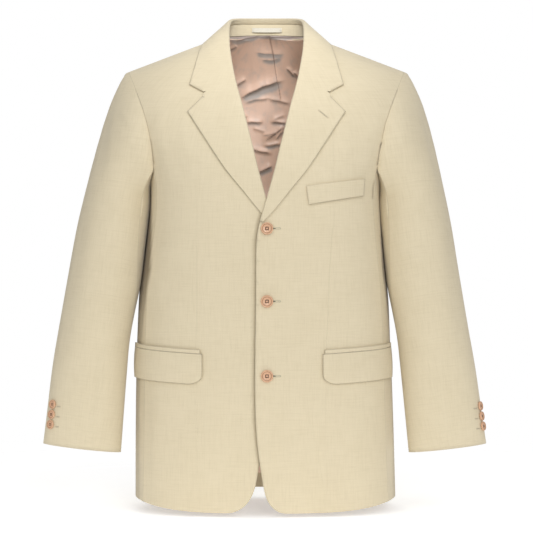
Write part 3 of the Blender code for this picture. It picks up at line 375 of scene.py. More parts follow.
def sleeve_lie(points, side):
    """Cloth coordinates on a sleeve: round it from its front towards the outside, and up it from the cuff."""
    _, foot, down = sleeve_axis(side)
    out = sleeve_outward(points, side)
    angle = np.arctan2(out[:, 0] * side, -out[:, 1])
    return angle * SLEEVE_RADIUS, (points - foot) @ -down


def folds(across, along, table):
    """Depth of the soft folds at cloth coordinates: each is a trough with a lower ridge beside it."""
    depth = np.zeros(len(across))
    for start_across, start_along, end_across, end_along, width, drop in table:
        run = np.hypot(end_across - start_across, end_along - start_along)
        way = np.array((end_across - start_across, end_along - start_along)) / run
        share = ((across - start_across) * way[0] + (along - start_along) * way[1]) / run
        beside = (across - start_across) * way[1] - (along - start_along) * way[0]
        beside = beside + 0.12 * run * (share - 0.5) ** 2
        fade = smooth_step((share + 0.15) / 0.35) * smooth_step((1.15 - share) / 0.35)
        profile = 0.55 * np.exp(-((beside - 1.3 * width) / width) ** 2) - np.exp(-(beside / width) ** 2)
        depth += drop * fade * profile
    return depth


# Soft folds, each a row: start across and along, end across and along, width, depth.
BODY_FOLDS = (
    (-0.210, -0.560, -0.190, -0.730, 0.016, 0.0016),
    (-0.140, -0.585, -0.165, -0.745, 0.022, 0.0010),
    (0.200, -0.575, 0.215, -0.735, 0.018, 0.0014),
    (0.120, -0.600, 0.105, -0.750, 0.024, 0.0010),
    (-0.060, -0.330, -0.185, -0.405, 0.020, 0.0008),
    (0.070, -0.345, 0.190, -0.440, 0.022, 0.0009),
    (-0.165, -0.120, -0.140, -0.235, 0.014, 0.0012),
    (0.160, -0.110, 0.138, -0.215, 0.013, 0.0010),
    (-0.255, -0.270, -0.235, -0.430, 0.016, 0.0016),
    (0.262, -0.265, 0.240, -0.410, 0.015, 0.0015),
    (0.420, -0.120, 0.395, -0.300, 0.018, 0.0018),
    (-0.410, -0.135, -0.385, -0.330, 0.020, 0.0017),
    (0.500, -0.430, 0.400, -0.480, 0.017, 0.0013),
    (-0.480, -0.400, -0.375, -0.445, 0.018, 0.0015),
    (0.455, -0.560, 0.470, -0.740, 0.022, 0.0016),
    (-0.440, -0.540, -0.455, -0.735, 0.020, 0.0014),
    (-0.335, -0.580, -0.350, -0.735, 0.018, 0.0013),
    (0.330, -0.570, 0.352, -0.730, 0.017, 0.0012),
)
# The same for the sleeves, round from the front towards the outside, and up from the cuff.
RIGHT_SLEEVE_FOLDS = (
    (0.030, 0.545, -0.012, 0.505, 0.007, 0.0016),
    (0.062, 0.560, 0.030, 0.440, 0.012, 0.0014),
    (-0.050, 0.330, 0.010, 0.300, 0.011, 0.0018),
    (-0.062, 0.285, 0.002, 0.262, 0.010, 0.0016),
    (-0.055, 0.240, 0.012, 0.215, 0.012, 0.0012),
    (0.045, 0.380, 0.050, 0.140, 0.014, 0.0010),
    (0.000, 0.200, -0.012, 0.040, 0.016, 0.0008),
    (-0.080, 0.420, -0.110, 0.340, 0.010, 0.0020),
    (-0.120, 0.400, -0.150, 0.290, 0.012, 0.0018),
    (0.130, 0.470, 0.120, 0.300, 0.013, 0.0014),
    (0.110, 0.300, 0.150, 0.220, 0.012, 0.0014),
)
LEFT_SLEEVE_FOLDS = (
    (-0.004, 0.500, 0.040, 0.488, 0.007, 0.0014),
    (0.056, 0.555, 0.048, 0.430, 0.011, 0.0014),
    (-0.056, 0.352, 0.004, 0.318, 0.012, 0.0016),
    (-0.050, 0.300, 0.016, 0.284, 0.009, 0.0014),
    (-0.060, 0.225, 0.000, 0.205, 0.012, 0.0012),
    (0.050, 0.360, 0.040, 0.160, 0.015, 0.0010),
    (0.008, 0.180, 0.000, 0.030, 0.016, 0.0008),
    (-0.085, 0.410, -0.115, 0.325, 0.011, 0.0018),
    (-0.130, 0.390, -0.155, 0.300, 0.012, 0.0018),
    (0.128, 0.455, 0.115, 0.310, 0.014, 0.0015),
    (0.105, 0.280, 0.146, 0.205, 0.011, 0.0013),
)


def edge_roll(points):
    """Lift of the left front's lapped edge, which rolls a little away from the right front."""
    past = smooth_step((-0.004 - points[:, 0]) / 0.014)
    return 0.0016 * past * smooth_step((-0.22 - points[:, 2]) / 0.05)


def sleeve_rest(points, side):
    """Swell of a sleeve's inner side, where the filled sleeve rests against the body."""
    inward = smooth_step((-sleeve_outward(points, side)[:, 0] * side - 0.55) / 0.35)
    below_armhole = smooth_step((-0.150 - points[:, 2]) / 0.040)
    above_hem = smooth_step((points[:, 2] + 0.450) / 0.060)
    return 0.0026 * inward * below_armhole * above_hem


def ease_folds(item, side=None):
    """Moves a piece's wall in and out by the folds, both faces together, and gives it its cloth UVs."""
    points = coordinates(item)
    if side is None:
        across, along = body_lie(points)
        held = smooth_step((-0.060 - points[:, 2]) / 0.080)
        outward, table = body_outward(points), BODY_FOLDS
        swell = edge_roll(points) if item.name.startswith("front_left") else 0.0
    else:
        across, along = sleeve_lie(points, side)
        held = smooth_step((-0.085 - points[:, 2]) / 0.080)
        outward, table = sleeve_outward(points, side), LEFT_SLEEVE_FOLDS if side > 0.0 else RIGHT_SLEEVE_FOLDS
        held = held * smooth_step((np.abs(points[:, 0]) - 0.205) / 0.030)
        swell = sleeve_rest(points, side)
    depth = folds(across, along, table) * held * sizes().crease_depth / 0.0030 + swell
    set_coordinates(item, points + outward * depth[:, None])
    set_uv(item, across, along)


# ---------------------------------------------------------------- marks that the linen reads

FREE = 0.05  # a distance from seams that leaves no groove
DARTS = {
    "front_right": ((-0.4952, 0.1107), (-0.3237, 0.1107)),
    "front_left": ((-0.5015, 0.0956), (-0.3824, 0.1000), (-0.2962, 0.1064)),
}


def is_seam(kind, point):
    """Whether a place on a piece's rim is sewn to a neighbour, and not a hem or a free edge."""
    x, z = abs(point[0]), point[2]
    if kind in ("front", "side", "back"):
        return z > -0.738 and not (kind == "front" and x < 0.030)
    if kind in ("top_sleeve", "under_sleeve"):
        return z > -0.650
    return kind in ("flap", "jetting") and z > -0.5155


def is_turned_edge(kind, point):
    """Whether a place on a piece's rim is an edge that lies on the cloth below it."""
    x, z = abs(point[0]), point[2]
    if kind == "front":
        return x < 0.030 and z > -0.72
    return kind in ("lapel", "collar_leaf", "flap")


def distance_to(points, places):
    """Distance of each point from the nearest of some places."""
    if not places:
        return np.full(len(points), FREE)
    tree = tree_of(places)
    return np.minimum([tree.find(point)[2] for point in points], FREE)


# Painted shade where a sleeve keeps the light off the body: height, nearest distance from the middle,
# strength.
ARM_SHADE = (
    (-0.790, 0.2035, 0.22), (-0.600, 0.2035, 0.28), (-0.500, 0.201, 0.32), (-0.460, 0.197, 0.40),
    (-0.412, 0.191, 0.62), (-0.380, 0.186, 0.82), (-0.330, 0.184, 0.85), (-0.260, 0.185, 0.80),
    (-0.200, 0.187, 0.40), (-0.160, 0.190, 0.00))
ARM_SHADE_EDGE = 0.0035
ARM_SHADE_BACK, ARM_SHADE_FADE = 0.040, 0.045  # it ends here behind the middle, and fades over this
# Painted shade on the right front beside the left front's lapped edge: its strength and its reach.
LAP_SHADE, LAP_REACH = 0.42, 0.0065


def painted_shade_share(points, node, kind):
    """How much shade is painted into the cloth under the arm and beside the lapped edge, where less light
    reaches, from 0 to 1.
    """
    shade = np.zeros(len(points))
    if kind in ("front", "side"):
        heights, starts, strengths = zip(*ARM_SHADE)
        past = np.abs(points[:, 0]) - np.interp(points[:, 2], heights, starts)
        shade = smooth_step(past / ARM_SHADE_EDGE) * np.interp(points[:, 2], heights, strengths)
        shade = shade * smooth_step((ARM_SHADE_BACK - points[:, 1]) / ARM_SHADE_FADE)
    if node == "front_right":
        lap = [place for place in rim_points(frame["nodes"]["front_left"]) if is_turned_edge("front", place)]
        level = distance_to(points * (1.0, 0.0, 1.0), [(x, 0.0, z) for x, _, z in lap])
        beside = 1.0 - smooth_step(level / LAP_REACH)
        shade = np.maximum(shade, LAP_SHADE * beside)
    return shade


def store_marks(item, node, kind):
    """Distance from the nearest seam and turned edge, the painted shade, and the signed distance from a dart.
    """
    points = coordinates(item)
    rims = rim_points(item)
    turned = [place for place in rims if is_turned_edge(kind, place)]
    gorge = gorge_rims(node)
    if gorge:
        turned = [
            place for place in turned if gorge.find(place)[2] > GORGE_REACH or abs(place[0]) > GORGE_SPAN[1]]
    store(item, "seam", distance_to(points, [place for place in rims if is_seam(kind, place)]))
    # The distance from a turned edge sets a line of painted shade along it.
    store(item, "edge", distance_to(points, turned))
    # Painted shade under the arms and beside the lapped edge.
    store(item, "painted_shade", painted_shade_share(points, node, kind))
    dart = np.full(len(points), FREE)
    if node in DARTS:
        heights, places = zip(*DARTS[node])
        beyond = np.maximum(points[:, 2] - heights[-1], heights[0] - points[:, 2])
        dart = np.abs(points[:, 0]) - np.interp(points[:, 2], heights, places)
        dart = dart + np.sign(dart) * FREE * smooth_step((beyond + 0.015) / 0.030)
    store(item, "dart", dart)


# ---------------------------------------------------------------- shader tools

class Nodes:
    """Short ways to add and link nodes in one tree."""

    def __init__(self, tree):
        self.tree = tree

    def add(self, kind, **values):
        node = self.tree.nodes.new(kind)
        for name, value in values.items():
            setattr(node, name, value)
        return node

    def plug(self, socket, value):
        if isinstance(value, bpy.types.NodeSocket):
            self.tree.links.new(value, socket)
        else:
            socket.default_value = value

    def math(self, operation, first, second=0.0, clamp=False):
        node = self.add("ShaderNodeMath", operation=operation, use_clamp=clamp)
        self.plug(node.inputs[0], first)
        self.plug(node.inputs[1], second)
        return node.outputs[0]

    def vector(self, x, y, z=0.0):
        node = self.add("ShaderNodeCombineXYZ")
        for socket, value in zip(node.inputs, (x, y, z)):
            self.plug(socket, value)
        return node.outputs[0]

    def split(self, vector):
        node = self.add("ShaderNodeSeparateXYZ")
        self.plug(node.inputs[0], vector)
        return node.outputs

    def noise(self, vector, scale=1.0, detail=2.0, roughness=0.5):
        node = self.add("ShaderNodeTexNoise")
        self.plug(node.inputs["Vector"], vector)
        node.inputs["Scale"].default_value = scale
        node.inputs["Detail"].default_value = detail
        node.inputs["Roughness"].default_value = roughness
        return node.outputs["Fac"]

    def ramp(self, value, low, high):
        """0 below low and 1 above high, smooth between them."""
        node = self.add("ShaderNodeMapRange", interpolation_type="SMOOTHSTEP")
        self.plug(node.inputs["Value"], value)
        node.inputs["From Min"].default_value = low
        node.inputs["From Max"].default_value = high
        return node.outputs["Result"]

    def mix(self, factor, first, second):
        node = self.add("ShaderNodeMix", data_type="RGBA")
        self.plug(node.inputs["Factor"], factor)
        self.plug(node.inputs["A"], first)
        self.plug(node.inputs["B"], second)
        return node.outputs["Result"]

    def attribute(self, name):
        return self.add("ShaderNodeAttribute", attribute_name=name).outputs["Fac"]

    def bump(self, height, strength=1.0):
        node = self.add("ShaderNodeBump")
        node.inputs["Strength"].default_value = strength
        node.inputs["Distance"].default_value = 1.0
        self.plug(node.inputs["Height"], height)
        return node.outputs["Normal"]

    def group(self, tree, **values):
        node = self.add("ShaderNodeGroup", node_tree=tree)
        for name, value in values.items():
            self.plug(node.inputs[name.replace("_", " ")], value)
        return node.outputs


def rgba(value):
    return (value[0], value[1], value[2], 1.0)


def new_material(name, roughness, **fixed):
    """A material with a Principled shader; fixed values stay on the shader's own sockets."""
    material = bpy.data.materials.new(name)
    material.use_nodes = True
    shader = material.node_tree.nodes["Principled BSDF"]
    shader.inputs["Roughness"].default_value = roughness
    for socket, value in fixed.items():
        shader.inputs[socket.replace("_", " ")].default_value = value
    return material, Nodes(material.node_tree), shader


def new_group(name, inputs, outputs):
    tree = bpy.data.node_groups.new(name, "ShaderNodeTree")
    for socket, kind, value in inputs:
        made = tree.interface.new_socket(name=socket, in_out="INPUT", socket_type=kind)
        if value is not None:
            made.default_value = value
    for socket, kind in outputs:
        tree.interface.new_socket(name=socket, in_out="OUTPUT", socket_type=kind)
    nodes = Nodes(tree)
    return tree, nodes, nodes.add("NodeGroupInput").outputs, nodes.add("NodeGroupOutput").inputs


# ---------------------------------------------------------------- shared effects

def slubby_weave():
    """Plain weave in cloth metres: thick places along both threads, slow tone and thread height."""
    made = bpy.data.node_groups.get("slubby_weave")
    if made:
        return made
    tree, nodes, inputs, outputs = new_group(
        "slubby_weave",
        (("Vector", "NodeSocketVector", None), ("Thread Pitch", "NodeSocketFloat", 0.0008),
         ("Slub Length", "NodeSocketFloat", 0.03)),
        (("Slub", "NodeSocketFloat"), ("Tone", "NodeSocketFloat"), ("Height", "NodeSocketFloat")))
    vector, pitch, slub = inputs["Vector"], inputs["Thread Pitch"], inputs["Slub Length"]
    across, along, _ = nodes.split(vector)
    across_threads = nodes.math("DIVIDE", across, pitch)
    along_threads = nodes.math("DIVIDE", along, pitch)
    across_slubs = nodes.math("DIVIDE", across, slub)
    along_slubs = nodes.math("DIVIDE", along, slub)
    streaks = []
    for thick, strength, z in ((0.90, 0.62, 1.7), (0.34, 0.32, 9.1)):
        warp = nodes.noise(nodes.vector(nodes.math("MULTIPLY", across_threads, thick), along_slubs, z))
        weft = nodes.noise(nodes.vector(across_slubs, nodes.math("MULTIPLY", along_threads, thick), z + 20.0))
        pair = nodes.math("ADD", nodes.ramp(warp, 0.42, 0.80), nodes.ramp(weft, 0.42, 0.80))
        streaks.append(nodes.math("MULTIPLY", pair, strength))
    nodes.plug(outputs["Slub"], nodes.math("ADD", streaks[0], streaks[1], clamp=True))
    nodes.plug(outputs["Tone"], nodes.noise(vector, scale=16.0, detail=3.0))
    ridges = []
    for value in (across_threads, along_threads):
        wave = nodes.math("SINE", nodes.math("MULTIPLY", value, 2.0 * math.pi))
        ridges.append(wave)
    weave = nodes.math("MULTIPLY", ridges[0], ridges[1])
    thick_places = nodes.math("MULTIPLY", streaks[0], 1.5)
    nodes.plug(outputs["Height"], nodes.math("ADD", weave, thick_places))
    return tree


def groove():
    """A soft groove and its dark line, from the distance to a seam."""
    made = bpy.data.node_groups.get("groove")
    if made:
        return made
    tree, nodes, inputs, outputs = new_group(
        "groove",
        (("Distance", "NodeSocketFloat", 0.05), ("Half Width", "NodeSocketFloat", 0.003)),
        (("Height", "NodeSocketFloat"), ("Line", "NodeSocketFloat")))
    away = nodes.math("DIVIDE", nodes.math("ABSOLUTE", inputs["Distance"]), inputs["Half Width"])
    nodes.plug(outputs["Height"], nodes.ramp(away, 0.0, 1.0))
    nodes.plug(outputs["Line"], nodes.math("SUBTRACT", 1.0, nodes.ramp(away, 0.0, 0.42)))
    return tree


def fine_grain():
    """Small cloudy variation in place, for horn, braid and thread."""
    made = bpy.data.node_groups.get("fine_grain")
    if made:
        return made
    tree, nodes, inputs, outputs = new_group(
        "fine_grain",
        (("Vector", "NodeSocketVector", None), ("Scale", "NodeSocketFloat", 200.0)),
        (("Cloud", "NodeSocketFloat"), ("Height", "NodeSocketFloat")))
    cloud = nodes.add("ShaderNodeTexNoise")
    nodes.plug(cloud.inputs["Vector"], inputs["Vector"])
    nodes.plug(cloud.inputs["Scale"], inputs["Scale"])
    cloud.inputs["Detail"].default_value = 3.0
    cloud.inputs["Distortion"].default_value = 1.2
    nodes.plug(outputs["Cloud"], nodes.ramp(cloud.outputs["Fac"], 0.35, 0.70))
    nodes.plug(outputs["Height"], cloud.outputs["Fac"])
    return tree


# ---------------------------------------------------------------- materials

GROOVE_DEPTH = 0.00025
THREAD_RISE = 0.00005
SLUB_STRENGTH = 0.38
CLOUD_STRENGTH = 0.10
# The edge line is painted shade along turned edges; the seam and dart lines are dark joints.
SEAM_LINE, DART_LINE, EDGE_SHADE_LINE = 0.36, 0.162, 0.42  # how dark the line is at each
LINE_SHADE = 0.45  # tone of those lines, as a share of the slub's colour
# Tone of the painted shade under the arms and beside the lapped edge, as a share of the slub's colour.
PAINTED_SHADE_TONE = (0.22, 0.16, 0.07)  # the same for cloth that no light reaches


def linen_material():
    material, nodes, shader = new_material(
        "linen_cloth", 0.88, Sheen_Weight=0.18, Sheen_Roughness=0.55, Specular_IOR_Level=0.22)
    cloth = nodes.add("ShaderNodeUVMap", uv_map="cloth").outputs["UV"]
    weave = nodes.group(
        slubby_weave(), Vector=cloth, Thread_Pitch=sizes().thread_pitch, Slub_Length=sizes().slub_length)
    seam = nodes.group(groove(), Distance=nodes.attribute("seam"), Half_Width=sizes().seam_width)
    dart = nodes.group(groove(), Distance=nodes.attribute("dart"), Half_Width=sizes().dart_width)
    # The edge groove's line is painted shade along the turned edges; it adds no bump.
    edge = nodes.group(groove(), Distance=nodes.attribute("edge"), Half_Width=sizes().edge_width)
    slub = rgba(colours().linen_slub)
    slubbed = nodes.mix(nodes.math("MULTIPLY", weave["Slub"], SLUB_STRENGTH), rgba(colours().linen), slub)
    cloud = nodes.math("MULTIPLY", nodes.ramp(weave["Tone"], 0.30, 0.75), CLOUD_STRENGTH)
    toned = nodes.mix(cloud, slubbed, slub)
    lines = nodes.math("MULTIPLY", edge["Line"], EDGE_SHADE_LINE)
    for line, strength in ((seam, SEAM_LINE), (dart, DART_LINE)):
        lines = nodes.math("ADD", lines, nodes.math("MULTIPLY", line["Line"], strength), clamp=True)
    lined = nodes.mix(lines, toned, rgba([channel * LINE_SHADE for channel in slub]))
    # Painted shade under the arms and beside the lapped edge darkens the base colour.
    dark = rgba([channel * share for channel, share in zip(slub, PAINTED_SHADE_TONE)])
    nodes.plug(shader.inputs["Base Color"], nodes.mix(nodes.attribute("painted_shade"), lined, dark))
    height = nodes.math("MULTIPLY", weave["Height"], THREAD_RISE)
    for line in (seam, dart):
        height = nodes.math("ADD", height, nodes.math("MULTIPLY", line["Height"], GROOVE_DEPTH))
    nodes.plug(shader.inputs["Normal"], nodes.bump(height))
    return material


def satin_material():
    material, nodes, shader = new_material("satin_cloth", 0.42, Sheen_Weight=0.25, Specular_IOR_Level=0.55)
    turn = nodes.attribute("turn")
    cloth = nodes.add("ShaderNodeUVMap", uv_map="cloth").outputs["UV"]
    across, along, _ = nodes.split(cloth)
    ribs = nodes.vector(nodes.math("MULTIPLY", across, 900.0), nodes.math("MULTIPLY", along, 60.0))
    ribs = nodes.noise(ribs)
    mottle = nodes.ramp(nodes.noise(cloth, scale=55.0, detail=4.0), 0.45, 0.75)
    mottle = nodes.math("MULTIPLY", mottle, 0.35)
    # Grey: painted sheen below each crease, painted shade under the collar stand, and random ribs and mottle.
    cool = nodes.math("ADD", nodes.ramp(turn, 0.10, 0.90), nodes.math("MULTIPLY", ribs, 0.12))
    cool = nodes.math("ADD", cool, mottle, clamp=True)
    satin = nodes.mix(cool, rgba(colours().satin_warm), rgba(colours().satin_grey_sheen_and_mottle))
    # Painted shade in the creases, the pleat and under the collar stand.
    fold = nodes.math("MULTIPLY", nodes.attribute("fold"), 0.72)
    nodes.plug(shader.inputs["Base Color"], nodes.mix(fold, satin, rgba(colours().satin_shade)))
    nodes.plug(shader.inputs["Normal"], nodes.bump(nodes.math("MULTIPLY", ribs, 0.00008)))
    return material


def horn_material():
    material, nodes, shader = new_material("turned_horn", 0.34, Coat_Roughness=0.2, Specular_IOR_Level=0.5)
    place = nodes.add("ShaderNodeTexCoord").outputs["Object"]
    grain = nodes.group(fine_grain(), Vector=place, Scale=260.0)
    # Dark horn: random grain streaks, and painted shade in the dish inside the rim.
    dish_shade = nodes.attribute("dish_shade")
    dark = nodes.math("MULTIPLY", grain["Cloud"], 0.16)
    dark = nodes.math("ADD", dark, nodes.math("MULTIPLY", dish_shade, 0.85))
    nodes.plug(shader.inputs["Base Color"], nodes.mix(dark, rgba(colours().horn), rgba(colours().horn_dark)))
    rough = nodes.math("ADD", 0.28, nodes.math("MULTIPLY", grain["Cloud"], 0.15))
    nodes.plug(shader.inputs["Roughness"], rough)
    nodes.plug(shader.inputs["Normal"], nodes.bump(nodes.math("MULTIPLY", grain["Height"], 0.00006)))
    return material


def thread_material(name, value, pitch=0.0007):
    """Thread, braid or stitches: fine slanting ribs of one colour."""
    material, nodes, shader = new_material(name, 0.75, Sheen_Weight=0.2)
    place = nodes.add("ShaderNodeTexCoord").outputs["Object"]
    x, _, z = nodes.split(place)
    slant = nodes.math("ADD", x, nodes.math("MULTIPLY", z, 0.6))
    ribs = nodes.math("SINE", nodes.math("MULTIPLY", slant, 2.0 * math.pi / pitch))
    grain = nodes.group(fine_grain(), Vector=place, Scale=900.0)
    dark = [channel * 0.72 for channel in value]
    shade = nodes.math("MULTIPLY", nodes.math("ADD", nodes.ramp(ribs, -1.0, 1.0), grain["Cloud"]), 0.4)
    nodes.plug(shader.inputs["Base Color"], nodes.mix(shade, rgba(value), rgba(dark)))
    nodes.plug(shader.inputs["Normal"], nodes.bump(nodes.math("MULTIPLY", ribs, 0.00006)))
    return material


def floor_material():
    """Pale paper round the object, which fades into the white air before its border."""
    material, nodes, shader = new_material(
        "studio_floor", 0.9, Specular_IOR_Level=0.1,
        Emission_Color=(1.0, 1.0, 1.0, 1.0), Emission_Strength=FLOOR_GLOW)
    place = nodes.add("ShaderNodeTexCoord").outputs["Object"]
    cloud = nodes.noise(place, scale=0.8, detail=1.0)
    light = rgba(colours().floor)
    dark = rgba([channel * 0.985 for channel in colours().floor])
    nodes.plug(shader.inputs["Base Color"], nodes.mix(cloud, light, dark))
    clear = nodes.add("ShaderNodeBsdfTransparent").outputs[0]
    x, y, _ = nodes.split(place)
    away = nodes.math("SQRT", nodes.math("ADD", nodes.math("MULTIPLY", x, x), nodes.math("MULTIPLY", y, y)))
    seen = nodes.add("ShaderNodeMixShader")
    nodes.plug(seen.inputs[0], nodes.ramp(away, *FLOOR_FADE))
    nodes.plug(seen.inputs[1], shader.outputs[0])
    nodes.plug(seen.inputs[2], clear)
    nodes.plug(material.node_tree.nodes["Material Output"].inputs["Surface"], seen.outputs[0])
    return material


def made_once(name, maker, *values):
    return bpy.data.materials.get(name) or maker(*values)


# ---------------------------------------------------------------- cloth operators

def dress(node, kind, side):
    """A finer, eased copy of one cloth node."""
    item = copy_node(node, f"{node}_cloth")
    subdivide(item, sizes().fineness)
    close_seams(item, node)
    ease_folds(item, side if "sleeve" in kind else None)
    store_marks(item, node, kind)
    smooth(item)
    finish_piece(item, made_once("linen_cloth", linen_material), node)
    return item


class BLAZER_OT_panels(bpy.types.Operator):
    """Dress the fronts, sides and backs in linen"""
    bl_idname = "blazer.panels"
    bl_label = "Body panels"

    def execute(self, context):
        for name, side in SIDES:
            for kind in ("front", "side", "back"):
                dress(f"{kind}_{name}", kind, side)
        return {"FINISHED"}


class BLAZER_OT_sleeves(bpy.types.Operator):
    """Dress the top and under sleeves in linen"""
    bl_idname = "blazer.sleeves"
    bl_label = "Sleeves"

    def execute(self, context):
        for name, side in SIDES:
            for kind in ("top_sleeve", "under_sleeve"):
                dress(f"{kind}_{name}", kind, side)
        return {"FINISHED"}


class BLAZER_OT_collar(bpy.types.Operator):
    """Dress the collar and the lapels in linen"""
    bl_idname = "blazer.collar"
    bl_label = "Collar and lapels"

    def execute(self, context):
        for name, side in SIDES:
            dress(f"lapel_{name}", "lapel", side)
        dress("collar_leaf", "collar_leaf", 1.0)
        dress("collar_stand", "collar_stand", 1.0)
        return {"FINISHED"}


class BLAZER_OT_pockets(bpy.types.Operator):
    """Dress the flaps, jettings and breast welt in linen"""
    bl_idname = "blazer.pockets"
    bl_label = "Pockets"

    def execute(self, context):
        for name, side in SIDES:
            dress(f"flap_{name}", "flap", side)
            dress(f"jetting_{name}", "jetting", side)
        dress("breast_welt", "breast_welt", 1.0)
        return {"FINISHED"}


# ---------------------------------------------------------------- lining and hanger loop

PLEAT = ((0.0166, 0.0044), (-0.0165, 0.0119), (-0.0533, 0.0173), (-0.0682, 0.0211), (-0.0847, 0.0238))
# Creases of the lining: start x and z, end x and z, height, reach above and below, painted grey sheen below,
# painted shade line.
LINING_CREASES = (
    (-0.0640, 0.0030, -0.0080, 0.0150, 0.0020, 0.0050, 0.0020, 0.9, 0.6),
    (-0.0080, 0.0150, 0.0560, 0.0110, 0.0016, 0.0040, 0.0020, 0.9, 0.3),
    (-0.0640, -0.0110, -0.0500, -0.0035, 0.0050, 0.0040, 0.0020, 0.5, 0.9),
    (-0.0180, -0.0125, 0.0300, -0.0130, 0.0012, 0.0060, 0.0030, 0.9, 0.2),
    (-0.0080, -0.0235, 0.0240, -0.0215, 0.0014, 0.0050, 0.0025, 0.8, 0.2),
    (-0.0520, -0.0660, -0.0350, -0.0545, 0.0030, 0.0050, 0.0018, 0.4, 0.8),
    (-0.0450, -0.0840, 0.0260, -0.0560, 0.0050, 0.0100, 0.0022, 1.0, 0.9),
    (-0.0350, -0.0930, 0.0040, -0.0850, 0.0020, 0.0040, 0.0020, 0.4, 0.5),
    (0.0040, -0.0860, 0.0400, -0.0955, 0.0024, 0.0050, 0.0020, 0.4, 0.7),
    (0.0340, -0.0370, 0.0480, -0.0490, 0.0030, 0.0040, 0.0022, 0.5, 1.0),
    (0.0460, -0.0440, 0.0600, -0.0530, 0.0040, 0.0045, 0.0020, 0.6, 0.8),
    (-0.0420, -0.1130, -0.0340, -0.1190, 0.0030, 0.0035, 0.0020, 0.5, 1.0),
    (-0.0360, -0.1280, -0.0070, -0.1262, 0.0036, 0.0060, 0.0020, 0.6, 0.9),
    (0.0070, -0.1252, 0.0370, -0.1290, 0.0034, 0.0055, 0.0018, 0.6, 0.9),
    (0.0330, -0.1330, -0.0040, -0.1570, 0.0040, 0.0060, 0.0060, 0.3, 1.0),
    (-0.0060, -0.1500, 0.0170, -0.1440, 0.0016, 0.0030, 0.0020, 0.3, 0.6),
    (-0.0050, -0.1665, 0.0260, -0.1640, 0.0032, 0.0050, 0.0022, 0.7, 0.7),
    (-0.0280, -0.1740, 0.0080, -0.1790, 0.0044, 0.0055, 0.0024, 0.4, 0.9),
    (-0.0150, -0.2135, 0.0090, -0.2010, 0.0042, 0.0060, 0.0026, 1.0, 1.0),
    (-0.0230, -0.1380, -0.0020, -0.1420, 0.0020, 0.0040, 0.0024, 0.2, 0.35),
    (0.0150, -0.1550, 0.0300, -0.1410, 0.0022, 0.0040, 0.0024, 0.5, 0.45),
    (0.0100, -0.1230, 0.0320, -0.1140, 0.0018, 0.0045, 0.0024, 0.3, 0.40),
    (-0.0700, -0.2700, 0.0500, -0.2450, 0.0040, 0.0120, 0.0050, 0.6, 0.5),
    (-0.0500, -0.3500, 0.0900, -0.3800, 0.0040, 0.0160, 0.0070, 0.6, 0.5),
    (-0.1100, -0.4600, 0.0200, -0.4300, 0.0036, 0.0160, 0.0070, 0.5, 0.5),
    (0.0100, -0.5200, 0.1200, -0.5500, 0.0036, 0.0160, 0.0080, 0.5, 0.5),
    (-0.1200, -0.6200, 0.0000, -0.6500, 0.0032, 0.0150, 0.0070, 0.5, 0.5),
)


def crease_lining(points):
    """Height of the lining's creases towards the front, how far their painted grey sheen shows below them,
    and their lines of painted shade.
    """
    x, z = points[:, 0], points[:, 2]
    height, cool, dark = (np.zeros(len(points)) for _ in range(3))
    for start_x, start_z, end_x, end_z, rise, above, below, sheen_below, line in LINING_CREASES:
        run = math.hypot(end_x - start_x, end_z - start_z)
        way = np.array((end_x - start_x, end_z - start_z)) / run
        over = np.array((-way[1], way[0])) * (1.0 if way[0] > 0.0 else -1.0)
        share = ((x - start_x) * way[0] + (z - start_z) * way[1]) / run
        beside = (x - start_x) * over[0] + (z - start_z) * over[1]
        beside = beside + 0.018 * run * np.sin(math.pi * share * 1.5 + start_x * 90.0)
        beside = beside + 0.0004 * np.sin(x * 260.0 + start_z * 300.0)
        fade = smooth_step((share + 0.12) / 0.35) * smooth_step((1.12 - share) / 0.35)
        reach = np.where(beside > 0.0, above, below)
        height += rise * fade * np.exp(-np.abs(beside / reach) ** 1.5)
        band = smooth_step(-beside / (0.4 * below)) * smooth_step((2.2 * above + beside) / (1.8 * above))
        cool += sheen_below * fade * band
        width = 0.0005 + 0.0008 * smooth_step(2.0 - 4.0 * np.abs(share - 0.5))
        dark = np.maximum(dark, line * fade * np.exp(-((beside + 0.4 * below) / width) ** 2))
    # The pleat's fold, with a line of painted shade along it.
    pleat_heights, pleat_places = zip(*reversed(PLEAT))
    past = x - np.interp(z, pleat_heights, pleat_places)
    held = smooth_step((z + 0.098) / 0.020)
    height += 0.0022 * held * np.where(past < 0.0, np.exp(past / 0.010), np.exp(-past / 0.0006))
    width = 0.0006 + 0.0008 * smooth_step((z + 0.040) / 0.030)
    dark = np.maximum(dark, held * np.exp(-(past / width) ** 2))
    return height, np.clip(cool, 0.0, 1.0), dark


def under_stand(points, bins=60):
    """1 along the lining's top, where it turns in under the collar stand, fading to 0 a little below."""
    spots = np.linspace(-0.160, 0.160, bins)
    nearest = np.abs(points[:, 0, None] - spots).argmin(axis=1)
    tops = np.full(bins, -1.0)
    np.maximum.at(tops, nearest, points[:, 2])
    below = np.interp(points[:, 0], spots, tops) - points[:, 2]
    return 1.0 - smooth_step((below - 0.0015) / 0.0065)


FINE_LINING_Z = -0.290  # the lining is finer above this, where the neck opening shows it


